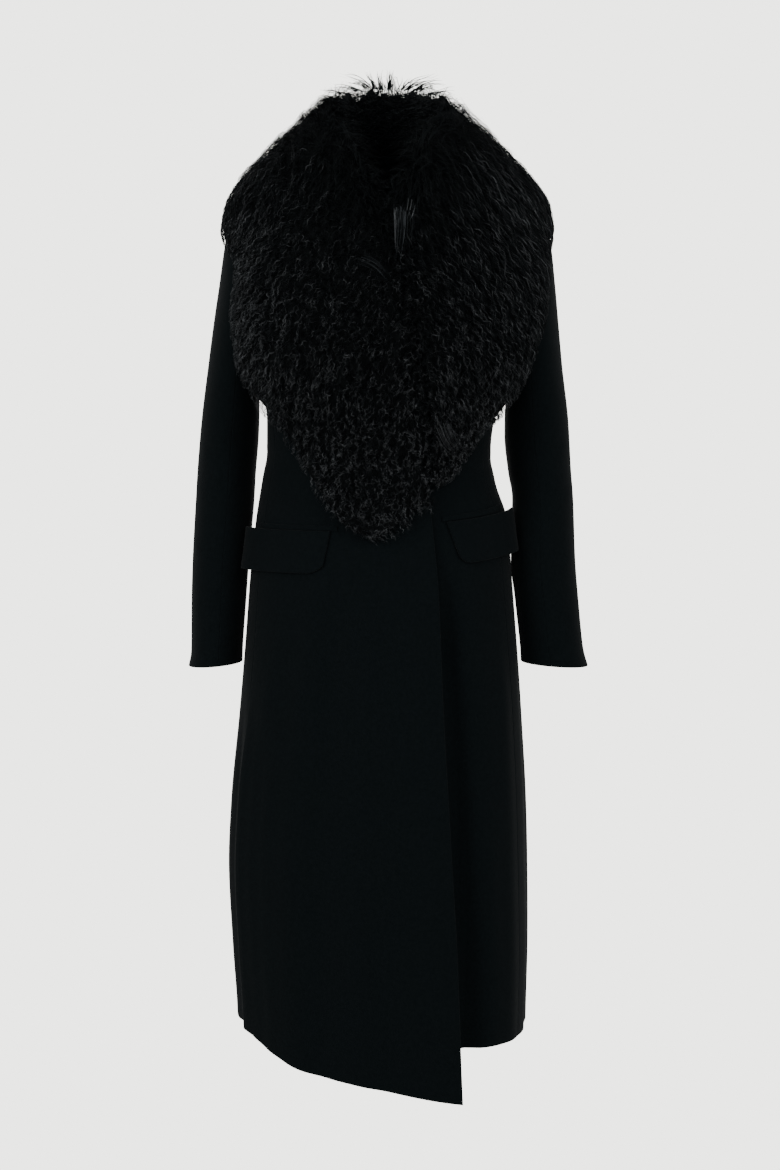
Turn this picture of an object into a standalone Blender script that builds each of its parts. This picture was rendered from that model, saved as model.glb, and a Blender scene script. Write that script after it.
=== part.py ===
"""Midi coat with a fur shawl collar, hollow and upright, as filled out by a wearer.

Metres, +Z up, the front looks to -Y. The wearer's right side is -X. The origin is the middle of the
neck opening, where the collar folds over. Every cloth piece is a thin wall between an outer and an
inner grid of points. The fur pieces are closed pads as thick as the pile.
"""
import math
from collections import namedtuple

import bpy
from mathutils import Vector

# Cloth and seams
CLOTH = 0.0026
SLEEVE_CLOTH = 0.0022
FLAP_CLOTH = 0.0030
JET_CLOTH = 0.0012
SEAM_GAP = 0.0003
ARMHOLE_GAP = 0.0008

# Heights of the cut
NECK_TOP = -0.0200
SHOULDER_TIP = -0.0760
UNDERARM = -0.2620
HEM_SIDE = -1.1500
HEM_EASE_FROM = -0.8000
HEM_EASE_POWER = 1.5

# Angles round the body, in degrees: 0 is the centre front, 90 the side, 180 the centre back
SIDE_SEAM = 64.0
UNDERARM_SEAM = 89.0
SIDE_SEAM_BENDS = 0.14

# How far the armhole is scooped into the front and the back
ARMHOLE_SCOOP = 0.0200

# The right front lies over the left one
LAP_RISE = 0.0045
LAP_STARTS = -0.128
LAP_FULL = -0.072
LAP_TOP = -0.050
LAP_FADE = 0.100
EDGE_ROLL = 0.105

# Grid sizes
SHOULDER_ROWS = 4
ARMHOLE_ROWS = 9
SKIRT_ROWS = 17
FRONT_RIGHT_COLUMNS = 18
FRONT_LEFT_COLUMNS = 13
BACK_COLUMNS = 10
CAP_END = 3
COLLAR_ARC = 11
BACK_COLLAR_STATIONS = 15
LAPEL_STATIONS = 25

# Outer sections of the body: half widths to the wearer's right and left, depths to front and back.
# Above the underarm the width runs on into the sleeve head, and the armhole cuts it off.
Section = namedtuple("Section", "z right left front back square")
BODY = [
    Section(z=-0.018, right=0.0720, left=0.0750, front=0.061, back=0.056, square=0.00),
    Section(z=-0.036, right=0.1110, left=0.1140, front=0.074, back=0.076, square=0.00),
    Section(z=-0.054, right=0.1460, left=0.1490, front=0.084, back=0.089, square=0.01),
    Section(z=-0.076, right=0.1770, left=0.1800, front=0.093, back=0.099, square=0.03),
    Section(z=-0.105, right=0.1900, left=0.1930, front=0.101, back=0.106, square=0.04),
    Section(z=-0.140, right=0.1940, left=0.1970, front=0.109, back=0.110, square=0.05),
    Section(z=-0.190, right=0.1860, left=0.1880, front=0.118, back=0.111, square=0.05),
    Section(z=-0.230, right=0.1750, left=0.1760, front=0.123, back=0.108, square=0.05),
    Section(z=-0.262, right=0.1670, left=0.1660, front=0.125, back=0.104, square=0.05),
    Section(z=-0.320, right=0.1580, left=0.1520, front=0.119, back=0.094, square=0.04),
    Section(z=-0.368, right=0.1534, left=0.1445, front=0.111, back=0.086, square=0.04),
    Section(z=-0.405, right=0.1535, left=0.1405, front=0.107, back=0.082, square=0.04),
    Section(z=-0.447, right=0.1600, left=0.1460, front=0.107, back=0.086, square=0.04),
    Section(z=-0.500, right=0.1685, left=0.1625, front=0.111, back=0.098, square=0.04),
    Section(z=-0.579, right=0.1768, left=0.1690, front=0.119, back=0.112, square=0.05),
    Section(z=-0.659, right=0.1830, left=0.1760, front=0.126, back=0.120, square=0.05),
    Section(z=-0.750, right=0.1910, left=0.1825, front=0.134, back=0.126, square=0.06),
    Section(z=-0.872, right=0.2030, left=0.1886, front=0.143, back=0.133, square=0.06),
    Section(z=-0.953, right=0.2066, left=0.1908, front=0.148, back=0.137, square=0.06),
    Section(z=-1.060, right=0.2020, left=0.1925, front=0.152, back=0.141, square=0.06),
    Section(z=-1.160, right=0.1960, left=0.1905, front=0.155, back=0.144, square=0.06),
    Section(z=-1.250, right=0.1950, left=0.1890, front=0.158, back=0.146, square=0.06),
]

# What the fur collar lies on: the shoulders, chest and upper back with the sleeve heads
BED = [
    Section(z=-0.0165, right=0.0720, left=0.0750, front=0.062, back=0.057, square=0.00),
    Section(z=-0.0345, right=0.1110, left=0.1140, front=0.076, back=0.078, square=0.00),
    Section(z=-0.0525, right=0.1470, left=0.1500, front=0.087, back=0.092, square=0.02),
    Section(z=-0.0742, right=0.1800, left=0.1830, front=0.098, back=0.103, square=0.05),
    Section(z=-0.1000, right=0.2000, left=0.2055, front=0.108, back=0.111, square=0.08),
    Section(z=-0.1400, right=0.2110, left=0.2160, front=0.118, back=0.116, square=0.10),
    Section(z=-0.1900, right=0.2190, left=0.2240, front=0.127, back=0.118, square=0.11),
    Section(z=-0.2400, right=0.2240, left=0.2280, front=0.132, back=0.115, square=0.11),
    Section(z=-0.2900, right=0.2220, left=0.2240, front=0.133, back=0.110, square=0.10),
    Section(z=-0.3350, right=0.2050, left=0.2040, front=0.127, back=0.104, square=0.08),
    Section(z=-0.3850, right=0.1800, left=0.1760, front=0.118, back=0.096, square=0.06),
    Section(z=-0.4300, right=0.1720, left=0.1640, front=0.115, back=0.094, square=0.05),
    Section(z=-0.4800, right=0.1760, left=0.1710, front=0.117, back=0.100, square=0.05),
    Section(z=-0.5400, right=0.1850, left=0.1800, front=0.124, back=0.110, square=0.05),
]

# The fronts' free edges: the neck's V down to the waist, then the edge down to the hem.
# roll is how far the right front's edge stands off the left front.
Edge = namedtuple("Edge", "z right_x left_x roll")
EDGES = [
    Edge(z=-0.018, right_x=-0.0690, left_x=0.0720, roll=0.000),
    Edge(z=-0.050, right_x=-0.0480, left_x=0.0510, roll=0.000),
    Edge(z=-0.085, right_x=-0.0200, left_x=0.0300, roll=0.000),
    Edge(z=-0.125, right_x=0.0080, left_x=0.0100, roll=0.000),
    Edge(z=-0.175, right_x=0.0220, left_x=-0.0060, roll=0.000),
    Edge(z=-0.230, right_x=0.0330, left_x=-0.0200, roll=0.000),
    Edge(z=-0.300, right_x=0.0430, left_x=-0.0340, roll=0.000),
    Edge(z=-0.380, right_x=0.0510, left_x=-0.0460, roll=0.001),
    Edge(z=-0.470, right_x=0.0570, left_x=-0.0540, roll=0.002),
    Edge(z=-0.580, right_x=0.0660, left_x=-0.0560, roll=0.005),
    Edge(z=-0.735, right_x=0.0710, left_x=-0.0560, roll=0.009),
    Edge(z=-0.960, right_x=0.0825, left_x=-0.0560, roll=0.013),
    Edge(z=-1.250, right_x=0.0980, left_x=-0.0560, roll=0.017),
]

# Height of the hem round the body
Hem = namedtuple("Hem", "angle z")
HEM_RIGHT_FRONT = [
    Hem(angle=-90, z=-1.152),
    Hem(angle=-64, z=-1.161),
    Hem(angle=-45, z=-1.181),
    Hem(angle=-28, z=-1.199),
    Hem(angle=-8, z=-1.212),
    Hem(angle=12, z=-1.227),
    Hem(angle=35, z=-1.242),
]
HEM_LEFT_FRONT = [
    Hem(angle=-30, z=-1.176),
    Hem(angle=30, z=-1.175),
    Hem(angle=64, z=-1.172),
    Hem(angle=90, z=-1.168),
]
HEM_BACK = [
    Hem(angle=-180, z=-1.150),
    Hem(angle=-110, z=-1.149),
    Hem(angle=-64, z=-1.161),
    Hem(angle=64, z=-1.172),
    Hem(angle=110, z=-1.162),
    Hem(angle=180, z=-1.150),
]

# Soft folds of the skirt. Each runs from (angle_top, top) to (angle_bottom, bottom).
# half is half its width in degrees, and depth is how far it stands out, or in if it is negative.
Fold = namedtuple("Fold", "top bottom angle_top angle_bottom half depth")
FRONT_FOLDS = [
    Fold(top=-0.54, bottom=-1.20, angle_top=-16, angle_bottom=-21, half=8, depth=-0.0045),
    Fold(top=-0.52, bottom=-1.16, angle_top=-3, angle_bottom=-6, half=8, depth=0.0030),
    Fold(top=-0.56, bottom=-1.14, angle_top=-29, angle_bottom=-33, half=8, depth=0.0025),
    Fold(top=-0.72, bottom=-1.10, angle_top=-49, angle_bottom=-50, half=6, depth=-0.0018),
    Fold(top=-0.70, bottom=-1.17, angle_top=-63, angle_bottom=-63, half=6, depth=0.0040),
]
UNDER_FOLDS = [
    Fold(top=-0.52, bottom=-1.24, angle_top=26, angle_bottom=34, half=16, depth=-0.0075),
    Fold(top=-0.60, bottom=-1.22, angle_top=55, angle_bottom=57, half=9, depth=0.0025),
]
BACK_FOLDS = [
    Fold(top=-0.70, bottom=-1.14, angle_top=-72, angle_bottom=-73, half=6, depth=-0.0045),
    Fold(top=-0.58, bottom=-1.20, angle_top=-118, angle_bottom=-122, half=14, depth=-0.0070),
    Fold(top=-0.60, bottom=-1.20, angle_top=-148, angle_bottom=-152, half=12, depth=0.0060),
    Fold(top=-0.58, bottom=-1.20, angle_top=84, angle_bottom=82, half=10, depth=-0.0030),
    Fold(top=-0.60, bottom=-1.20, angle_top=120, angle_bottom=124, half=14, depth=-0.0065),
    Fold(top=-0.62, bottom=-1.20, angle_top=151, angle_bottom=149, half=12, depth=0.0060),
]
FOLD_FADE = 0.14

# Rings of the sleeves: each has an outer and an inner point, a half depth from front to back
# and how far its middle lies behind the shoulder line.
Ring = namedtuple("Ring", "out_z out_right out_left in_z in_right in_left depth behind")
SLEEVE = [
    Ring(out_z=-0.0760, out_right=0.1775, out_left=0.1805, in_z=-0.2620, in_right=0.1680, in_left=0.1670,
         depth=0.0720, behind=0.000),
    Ring(out_z=-0.1000, out_right=0.1965, out_left=0.2020, in_z=-0.2720, in_right=0.1700, in_left=0.1690,
         depth=0.0700, behind=0.000),
    Ring(out_z=-0.1340, out_right=0.2059, out_left=0.2165, in_z=-0.2840, in_right=0.1705, in_left=0.1695,
         depth=0.0680, behind=0.001),
    Ring(out_z=-0.1900, out_right=0.2145, out_left=0.2235, in_z=-0.3020, in_right=0.1690, in_left=0.1670,
         depth=0.0650, behind=0.003),
    Ring(out_z=-0.2400, out_right=0.2225, out_left=0.2285, in_z=-0.3220, in_right=0.1660, in_left=0.1630,
         depth=0.0625, behind=0.006),
    Ring(out_z=-0.3000, out_right=0.2310, out_left=0.2345, in_z=-0.3500, in_right=0.1635, in_left=0.1590,
         depth=0.0600, behind=0.009),
    Ring(out_z=-0.3680, out_right=0.2400, out_left=0.2429, in_z=-0.3880, in_right=0.1648, in_left=0.1588,
         depth=0.0580, behind=0.012),
    Ring(out_z=-0.4330, out_right=0.2460, out_left=0.2470, in_z=-0.4370, in_right=0.1690, in_left=0.1640,
         depth=0.0560, behind=0.014),
    Ring(out_z=-0.4730, out_right=0.2486, out_left=0.2502, in_z=-0.4730, in_right=0.1712, in_left=0.1695,
         depth=0.0548, behind=0.014),
    Ring(out_z=-0.5520, out_right=0.2532, out_left=0.2533, in_z=-0.5520, in_right=0.1785, in_left=0.1680,
         depth=0.0520, behind=0.012),
    Ring(out_z=-0.6050, out_right=0.2548, out_left=0.2576, in_z=-0.6050, in_right=0.1824, in_left=0.1735,
         depth=0.0500, behind=0.010),
    Ring(out_z=-0.6720, out_right=0.2555, out_left=0.2647, in_z=-0.6690, in_right=0.1870, in_left=0.1805,
         depth=0.0480, behind=0.007),
    Ring(out_z=-0.6925, out_right=0.2590, out_left=0.2705, in_z=-0.6870, in_right=0.1875, in_left=0.1815,
         depth=0.0490, behind=0.006),
]
# Where the sleeve's seams lie round a ring, in degrees from its outer point to the front
FRONT_SLEEVE_SEAM = 100.0
BACK_SLEEVE_SEAM = -120.0
SLEEVE_SEAM_TURN = 0.20

# Pocket flaps and the jets above them, as distances across the front
Pocket = namedtuple(
    "Pocket", "side outer_angle inner_top inner_bottom top_outer top_inner drop stand jet_inner")
POCKETS = [
    Pocket(side=-1, outer_angle=80, inner_top=0.0655, inner_bottom=0.0750, top_outer=-0.5080, top_inner=-0.5080,
           drop=0.0545, stand=0.0100, jet_inner=0.0570),
    Pocket(side=1, outer_angle=80, inner_top=0.0790, inner_bottom=0.0960, top_outer=-0.4850, top_inner=-0.4970,
           drop=0.0540, stand=0.0080, jet_inner=0.0740),
]
JET_HEIGHT = 0.0065
FLAP_ROWS = 4
FLAP_COLUMNS = 12
COLUMN_CROWDING = 1.5
CORNER_START = 0.87
CORNER_RISE = 0.0100
STAND_FROM = 52.0
STAND_SPAN = 28.0
JET_OUTER = 68.0
PATCH_GAP = 0.0007

# The fur collar. Its inner line is the neck edge and the fold of the lapels, its outer line the free
# edge. thick and edge are the pile's height near the inner and the outer line. stand lifts the fur
# round the neck, and lean brings its top inward. off counts degrees from the centre back.
BackFur = namedtuple("BackFur", "off inner_z outer_z thick edge stand lean")
BACK_FUR = [
    BackFur(off=0, inner_z=-0.0170, outer_z=-0.185, thick=0.044, edge=0.022, stand=0.088, lean=0.026),
    BackFur(off=45, inner_z=-0.0170, outer_z=-0.165, thick=0.040, edge=0.018, stand=0.086, lean=0.029),
    BackFur(off=90, inner_z=-0.0170, outer_z=-0.106, thick=0.036, edge=0.004, stand=0.080, lean=0.032),
]
Fur = namedtuple("Fur", "inner_x inner_z outer_x outer_z thick edge stand lean")
RIGHT_FUR = [
    Fur(inner_x=-0.075, inner_z=-0.017, outer_x=-0.197, outer_z=-0.106,
        thick=0.036, edge=0.004, stand=0.080, lean=0.032),
    Fur(inner_x=-0.052, inner_z=-0.048, outer_x=-0.189, outer_z=-0.175,
        thick=0.042, edge=0.02, stand=0.05, lean=0.018),
    Fur(inner_x=-0.022, inner_z=-0.085, outer_x=-0.184, outer_z=-0.25,
        thick=0.05, edge=0.028, stand=0.014, lean=0.004),
    Fur(inner_x=0.008, inner_z=-0.125, outer_x=-0.168, outer_z=-0.318,
        thick=0.052, edge=0.03, stand=0.0, lean=0.0),
    Fur(inner_x=0.03, inner_z=-0.215, outer_x=-0.121, outer_z=-0.386,
        thick=0.05, edge=0.031, stand=0.0, lean=0.0),
    Fur(inner_x=0.046, inner_z=-0.325, outer_x=-0.079, outer_z=-0.466,
        thick=0.044, edge=0.028, stand=0.0, lean=0.0),
    Fur(inner_x=0.0535, inner_z=-0.41, outer_x=-0.046, outer_z=-0.508,
        thick=0.036, edge=0.024, stand=0.0, lean=0.0),
    Fur(inner_x=0.0565, inner_z=-0.474, outer_x=-0.008, outer_z=-0.522,
        thick=0.016, edge=0.014, stand=0.0, lean=0.0),
]
LEFT_FUR = [
    Fur(inner_x=0.078, inner_z=-0.017, outer_x=0.204, outer_z=-0.106,
        thick=0.036, edge=0.004, stand=0.080, lean=0.032),
    Fur(inner_x=0.056, inner_z=-0.048, outer_x=0.202, outer_z=-0.165,
        thick=0.044, edge=0.022, stand=0.05, lean=0.018),
    Fur(inner_x=0.031, inner_z=-0.085, outer_x=0.196, outer_z=-0.232,
        thick=0.05, edge=0.03, stand=0.014, lean=0.004),
    Fur(inner_x=0.012, inner_z=-0.125, outer_x=0.18, outer_z=-0.29,
        thick=0.05, edge=0.033, stand=0.0, lean=0.0),
    Fur(inner_x=0.034, inner_z=-0.215, outer_x=0.157, outer_z=-0.336,
        thick=0.046, edge=0.032, stand=0.0, lean=0.0),
    Fur(inner_x=0.048, inner_z=-0.3, outer_x=0.122, outer_z=-0.378,
        thick=0.04, edge=0.028, stand=0.0, lean=0.0),
    Fur(inner_x=0.055, inner_z=-0.38, outer_x=0.092, outer_z=-0.434,
        thick=0.03, edge=0.021, stand=0.0, lean=0.0),
    Fur(inner_x=0.0605, inner_z=-0.44, outer_x=0.069, outer_z=-0.456,
        thick=0.014, edge=0.012, stand=0.0, lean=0.0),
]
FUR_ROUNDNESS = 3.2
FUR_TAPER = 1.5
SHOULDER_GAP = 0.12

# Edges sharper than this are shaded flat
SHARP_ANGLE = 50.0

# Colours of the materials
WOOL_COLOR = (0.0060, 0.0064, 0.0070, 1.0)
FUR_COLOR = (0.0040, 0.0042, 0.0045, 1.0)


def ease(value):
    """Goes softly from 0 to 1 as the value does."""
    value = min(1.0, max(0.0, value))
    return value * value * (3.0 - 2.0 * value)


def between(places, values, at):
    """Reads a smooth line through some values at rising places, without overshoot."""
    if at <= places[0]:
        return values[0]
    if at >= places[-1]:
        return values[-1]
    low = max(i for i in range(len(places) - 1) if places[i] <= at)
    slopes = [(values[i + 1] - values[i]) / (places[i + 1] - places[i]) for i in range(len(places) - 1)]

    def tangent(i):
        if i == 0 or i == len(places) - 1:
            return slopes[min(i, len(slopes) - 1)]
        if slopes[i - 1] * slopes[i] <= 0.0:
            return 0.0
        return 2.0 * slopes[i - 1] * slopes[i] / (slopes[i - 1] + slopes[i])

    span = places[low + 1] - places[low]
    t = (at - places[low]) / span
    return ((2 * t ** 3 - 3 * t ** 2 + 1) * values[low] + (t ** 3 - 2 * t ** 2 + t) * span * tangent(low)
            + (3 * t ** 2 - 2 * t ** 3) * values[low + 1] + (t ** 3 - t ** 2) * span * tangent(low + 1))


def column(rows, key, name, at):
    """Reads one named column of a table between its rows, which the key column orders."""
    places = [getattr(row, key) for row in rows]
    values = [getattr(row, name) for row in rows]
    if places[0] > places[-1]:
        return between([-place for place in places], values, -at)
    return between(places, values, at)


def along(rows, name, place):
    """Reads one named column of a table at a place that counts its rows from 0."""
    return between(list(range(len(rows))), [getattr(row, name) for row in rows], place)


def section_sizes(table, z):
    """Middle, half width, depths and squareness of a section at one height."""
    right = column(table, "z", "right", z)
    left = column(table, "z", "left", z)
    front = column(table, "z", "front", z)
    back = column(table, "z", "back", z)
    square = column(table, "z", "square", z)
    return (left - right) / 2.0, (left + right) / 2.0, front, back, square


def section_point(table, angle, z):
    """Point of a section, at an angle from the centre front."""
    middle, half, front, back, square = section_sizes(table, z)
    a = math.radians(angle)
    x = middle + half * math.sin(a + square * math.sin(2.0 * a))
    cosine = math.cos(a - square * math.sin(2.0 * a))
    y = -cosine * (front if cosine > 0.0 else back)
    return Vector((x, y, z))


def front_angle(table, x, z):
    """Angle at which the front of a section passes a given x."""
    middle, half, _front, _back, square = section_sizes(table, z)
    whole = math.asin(min(1.0, max(-1.0, (x - middle) / half)))
    a = whole
    for _step in range(12):
        a = whole - square * math.sin(2.0 * a)
    return math.degrees(a)


def fold_depth(folds, angle, z):
    """How far a panel's folds move it out at one place."""
    total = 0.0
    for fold in folds:
        along = (z - fold.top) / (fold.bottom - fold.top)
        if along <= 0.0:
            continue
        centre = fold.angle_top + (fold.angle_bottom - fold.angle_top) * min(along, 1.0)
        across = abs(angle - centre) / fold.half
        if across >= 1.0:
            continue
        fade = ease((fold.top - z) / FOLD_FADE)
        total += fold.depth * fade * (1.0 + math.cos(math.pi * across)) / 2.0
    return total


def pushed(point, angle, distance):
    """Moves a point away from the body's middle line, in its level."""
    a = math.radians(angle)
    return point + Vector((math.sin(a), -math.cos(a), 0.0)) * distance


def right_front(angle, z):
    """Outer surface of the right front, over the left one and with its free edge rolled out."""
    point = section_point(BODY, angle, z)
    low = ease((LAP_TOP - z) / LAP_FADE)
    lap = LAP_RISE * low * ease((point.x - LAP_STARTS) / (LAP_FULL - LAP_STARTS))
    edge_x = column(EDGES, "z", "right_x", z)
    roll = column(EDGES, "z", "roll", z) * ease(1.0 - (edge_x - point.x) / EDGE_ROLL)
    return pushed(point, angle, lap + roll + fold_depth(FRONT_FOLDS, angle, z))


def left_front(angle, z):
    """Outer surface of the left front, which follows the right front's folds where that covers it."""
    point = section_point(BODY, angle, z)
    folds = fold_depth(FRONT_FOLDS, angle, z) + fold_depth(UNDER_FOLDS, angle, z)
    return pushed(point, angle, folds)


def back(angle, z):
    """Outer surface of the back."""
    point = section_point(BODY, angle, z)
    return pushed(point, angle, fold_depth(BACK_FOLDS, angle, z))


def bed(angle, z):
    """Surface that the fur lies on."""
    return section_point(BED, angle, z)


def outward(surface, angle, z):
    """Unit normal of a surface, away from the body."""
    turn = surface(angle + 0.5, z) - surface(angle - 0.5, z)
    rise = surface(angle, z + 0.001) - surface(angle, z - 0.001)
    return turn.cross(rise).normalized()


def armhole(side, turn):
    """Point of an armhole: turn 0 is the shoulder tip, 180 the underarm, positive to the front."""
    t = math.radians(turn)
    z = (SHOULDER_TIP + UNDERARM) / 2.0 + (SHOULDER_TIP - UNDERARM) / 2.0 * math.cos(t)
    name = "right" if side < 0 else "left"
    top = column(BODY, "z", name, SHOULDER_TIP)
    low = column(BODY, "z", name, UNDERARM)
    reach = top + (low - top) * (1.0 - math.cos(t)) / 2.0 - ARMHOLE_SCOOP * math.sin(t) ** 2
    angle = front_angle(BODY, side * reach, z)
    if turn < 0.0:
        angle = side * 180.0 - angle
    return angle, z


def armhole_turns():
    """Turns of the armhole's points from the shoulder tip to the underarm."""
    return [180.0 * i / ARMHOLE_ROWS for i in range(ARMHOLE_ROWS + 1)]


def side_seam(side, z):
    """Angle of a side seam, which bends to the underarm at its top."""
    bend = ease((UNDERARM - z) / SIDE_SEAM_BENDS)
    return side * (UNDERARM_SEAM + (SIDE_SEAM - UNDERARM_SEAM) * bend)


def gap_angle(z):
    """Half a seam's gap as an angle."""
    _middle, half, _front, _back, _square = section_sizes(BODY, z)
    return math.degrees(SEAM_GAP / half)


def panel_rows(side, facing):
    """Heights of a panel's rows from the neck to the hem, with the angle of its side edge."""
    rows = []
    for i in range(SHOULDER_ROWS):
        z = NECK_TOP + (SHOULDER_TIP - NECK_TOP) * i / SHOULDER_ROWS
        rows.append((z, side * 90.0 - facing * side * gap_angle(z)))
    for turn in armhole_turns():
        angle, z = armhole(side, turn * facing)
        if turn in (0.0, 180.0):
            angle -= facing * side * gap_angle(z)
        rows.append((z, angle))
    for i in range(1, SKIRT_ROWS + 1):
        z = UNDERARM + (HEM_SIDE - UNDERARM) * i / SKIRT_ROWS
        rows.append((z, side_seam(side, z) - facing * side * gap_angle(z)))
    return rows


def hem_height(hem, angle, z):
    """Stretches the lower rows so that the last one lies on the hem."""
    if z >= HEM_EASE_FROM:
        return z
    share = (HEM_EASE_FROM - z) / (HEM_EASE_FROM - HEM_SIDE)
    drop = column(hem, "angle", "z", angle) - HEM_SIDE
    return z + drop * share ** HEM_EASE_POWER


def panel_grids(surface, hem, rows, columns, thick):
    """Outer and inner points of a panel. Each row is a height and the angles of its two ends."""
    outer = []
    inner = []
    for z_row, start, end in rows:
        outer_row = []
        inner_row = []
        for i in range(columns + 1):
            angle = start + (end - start) * i / columns
            z = hem_height(hem, angle, z_row)
            point = surface(angle, z)
            outer_row.append(point)
            inner_row.append(point - outward(surface, angle, z) * thick)
        outer.append(outer_row)
        inner.append(inner_row)
    return outer, inner


def wall(name, outer, inner, material):
    """Closed thin wall between two grids of points."""
    rows = len(outer)
    columns = len(outer[0])
    points = [point for row in outer for point in row] + [point for row in inner for point in row]
    shift = rows * columns

    def at(r, c):
        return r * columns + c

    faces = []
    for r in range(rows - 1):
        for c in range(columns - 1):
            quad = (at(r, c), at(r + 1, c), at(r + 1, c + 1), at(r, c + 1))
            faces.append(quad)
            faces.append(tuple(shift + k for k in reversed(quad)))
    low = rows - 1
    last = columns - 1
    for c in range(columns - 1):
        faces.append((at(0, c), at(0, c + 1), shift + at(0, c + 1), shift + at(0, c)))
        faces.append((at(low, c + 1), at(low, c), shift + at(low, c), shift + at(low, c + 1)))
    for r in range(rows - 1):
        faces.append((at(r + 1, 0), at(r, 0), shift + at(r, 0), shift + at(r + 1, 0)))
        faces.append((at(r, last), at(r + 1, last), shift + at(r + 1, last), shift + at(r, last)))
    return make_object(name, points, faces, material)


def make_object(name, points, faces, material):
    """Mesh object with smooth faces that look outward."""
    mesh = bpy.data.meshes.new(name)
    mesh.from_pydata([tuple(point) for point in points], [], faces)
    mesh.materials.append(material)
    mesh.validate()
    mesh.update()
    volume = signed_volume(mesh)
    if volume < 0.0:
        mesh.flip_normals()
    mesh.shade_smooth()
    mesh.set_sharp_from_angle(angle=math.radians(SHARP_ANGLE))
    thing = bpy.data.objects.new(name, mesh)
    bpy.context.scene.collection.objects.link(thing)
    return thing


def signed_volume(mesh):
    """Volume inside a closed mesh, negative if its faces look inward."""
    total = 0.0
    mesh.calc_loop_triangles()
    for triangle in mesh.loop_triangles:
        a, b, c = (mesh.vertices[i].co for i in triangle.vertices)
        total += a.dot(b.cross(c)) / 6.0
    return total


def make_material(name, color, roughness):
    """Plain cloth or fur material."""
    material = bpy.data.materials.new(name)
    material.use_nodes = True
    shader = material.node_tree.nodes["Principled BSDF"]
    shader.inputs["Base Color"].default_value = color
    shader.inputs["Roughness"].default_value = roughness
    shader.inputs["Metallic"].default_value = 0.0
    return material


def make_fronts(material):
    """The right front over the left front."""
    rows = []
    for z, side_angle in panel_rows(-1, 1):
        edge = front_angle(BODY, column(EDGES, "z", "right_x", z), z)
        rows.append((z, side_angle, edge))
    outer, inner = panel_grids(right_front, HEM_RIGHT_FRONT, rows, FRONT_RIGHT_COLUMNS, CLOTH)
    wall("front_right", outer, inner, material)
    rows = []
    for z, side_angle in panel_rows(1, 1):
        edge = front_angle(BODY, column(EDGES, "z", "left_x", z), z)
        rows.append((z, edge, side_angle))
    outer, inner = panel_grids(left_front, HEM_LEFT_FRONT, rows, FRONT_LEFT_COLUMNS, CLOTH)
    wall("front_left", outer, inner, material)


def make_backs(material):
    """The back's two halves, joined at the centre back."""
    for side, name in ((-1, "back_right"), (1, "back_left")):
        rows = []
        for z, side_angle in panel_rows(side, -1):
            rows.append((z, side_angle, side * (180.0 - gap_angle(z) / 2.0)))
        outer, inner = panel_grids(back, HEM_BACK, rows, BACK_COLUMNS, CLOTH)
        wall(name, outer, inner, material)


def sleeve_ring(side, place, turn):
    """Point of a plain sleeve ring: turn goes round from the outer point to the front."""
    name = "right" if side < 0 else "left"
    out_point = Vector((side * along(SLEEVE, "out_" + name, place), 0.0, along(SLEEVE, "out_z", place)))
    in_point = Vector((side * along(SLEEVE, "in_" + name, place), 0.0, along(SLEEVE, "in_z", place)))
    t = math.radians(turn)
    middle = (out_point + in_point) / 2.0
    middle.y = along(SLEEVE, "behind", place)
    reach = (out_point - in_point) / 2.0
    return middle + reach * math.cos(t) + Vector((0.0, -along(SLEEVE, "depth", place) * math.sin(t), 0.0))


def sleeve_point(side, place, turn):
    """Outer point of a sleeve, which starts on the armhole and soon becomes a plain tube."""
    point = sleeve_ring(side, place, turn)
    if place >= CAP_END:
        return point
    turned = (turn + 180.0) % 360.0 - 180.0
    angle, z = armhole(side, turned)
    start = section_point(BODY, angle, z) + Vector((side * ARMHOLE_GAP, 0.0, 0.0))
    return point + (start - sleeve_ring(side, 0.0, turn)) * (1.0 - place / CAP_END) ** 2


def sleeve_normal(side, place, turn):
    """Unit normal of a sleeve, away from its hollow."""
    low = max(0.0, place - 0.05)
    high = min(len(SLEEVE) - 1.0, place + 0.05)
    down = sleeve_point(side, high, turn) - sleeve_point(side, low, turn)
    round_it = sleeve_point(side, place, turn + 0.5) - sleeve_point(side, place, turn - 0.5)
    return round_it.cross(down).normalized() * side


def make_sleeves(material):
    """Two sleeves, each of an upper and an under piece."""
    places = [i / 2.0 for i in range(2 * CAP_END)] + [float(i) for i in range(CAP_END, len(SLEEVE))]
    step = 180.0 / ARMHOLE_ROWS
    pieces = (("sleeve_upper", BACK_SLEEVE_SEAM, FRONT_SLEEVE_SEAM),
              ("sleeve_under", FRONT_SLEEVE_SEAM, BACK_SLEEVE_SEAM + 360.0))
    for side, hand in ((-1, "_right"), (1, "_left")):
        for name, start, end in pieces:
            turns = [start + step * i for i in range(round((end - start) / step) + 1)]
            turns[0] += SLEEVE_SEAM_TURN
            turns[-1] -= SLEEVE_SEAM_TURN
            outer = [[sleeve_point(side, place, turn) for turn in turns] for place in places]
            inner = [[sleeve_point(side, place, turn) - sleeve_normal(side, place, turn) * SLEEVE_CLOTH
                      for turn in turns] for place in places]
            wall(name + hand, outer, inner, material)


def raised_patch(name, surface, rows, distances, thick, material):
    """Thin piece on a panel: its points are the panel's, moved out."""
    outer = []
    inner = []
    for row, distance_row in zip(rows, distances):
        outer_row = []
        inner_row = []
        for (angle, z), distance in zip(row, distance_row):
            point = surface(angle, z)
            normal = outward(surface, angle, z)
            inner_row.append(point + normal * distance)
            outer_row.append(point + normal * (distance + thick))
        outer.append(outer_row)
        inner.append(inner_row)
    return wall(name, outer, inner, material)


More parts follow.
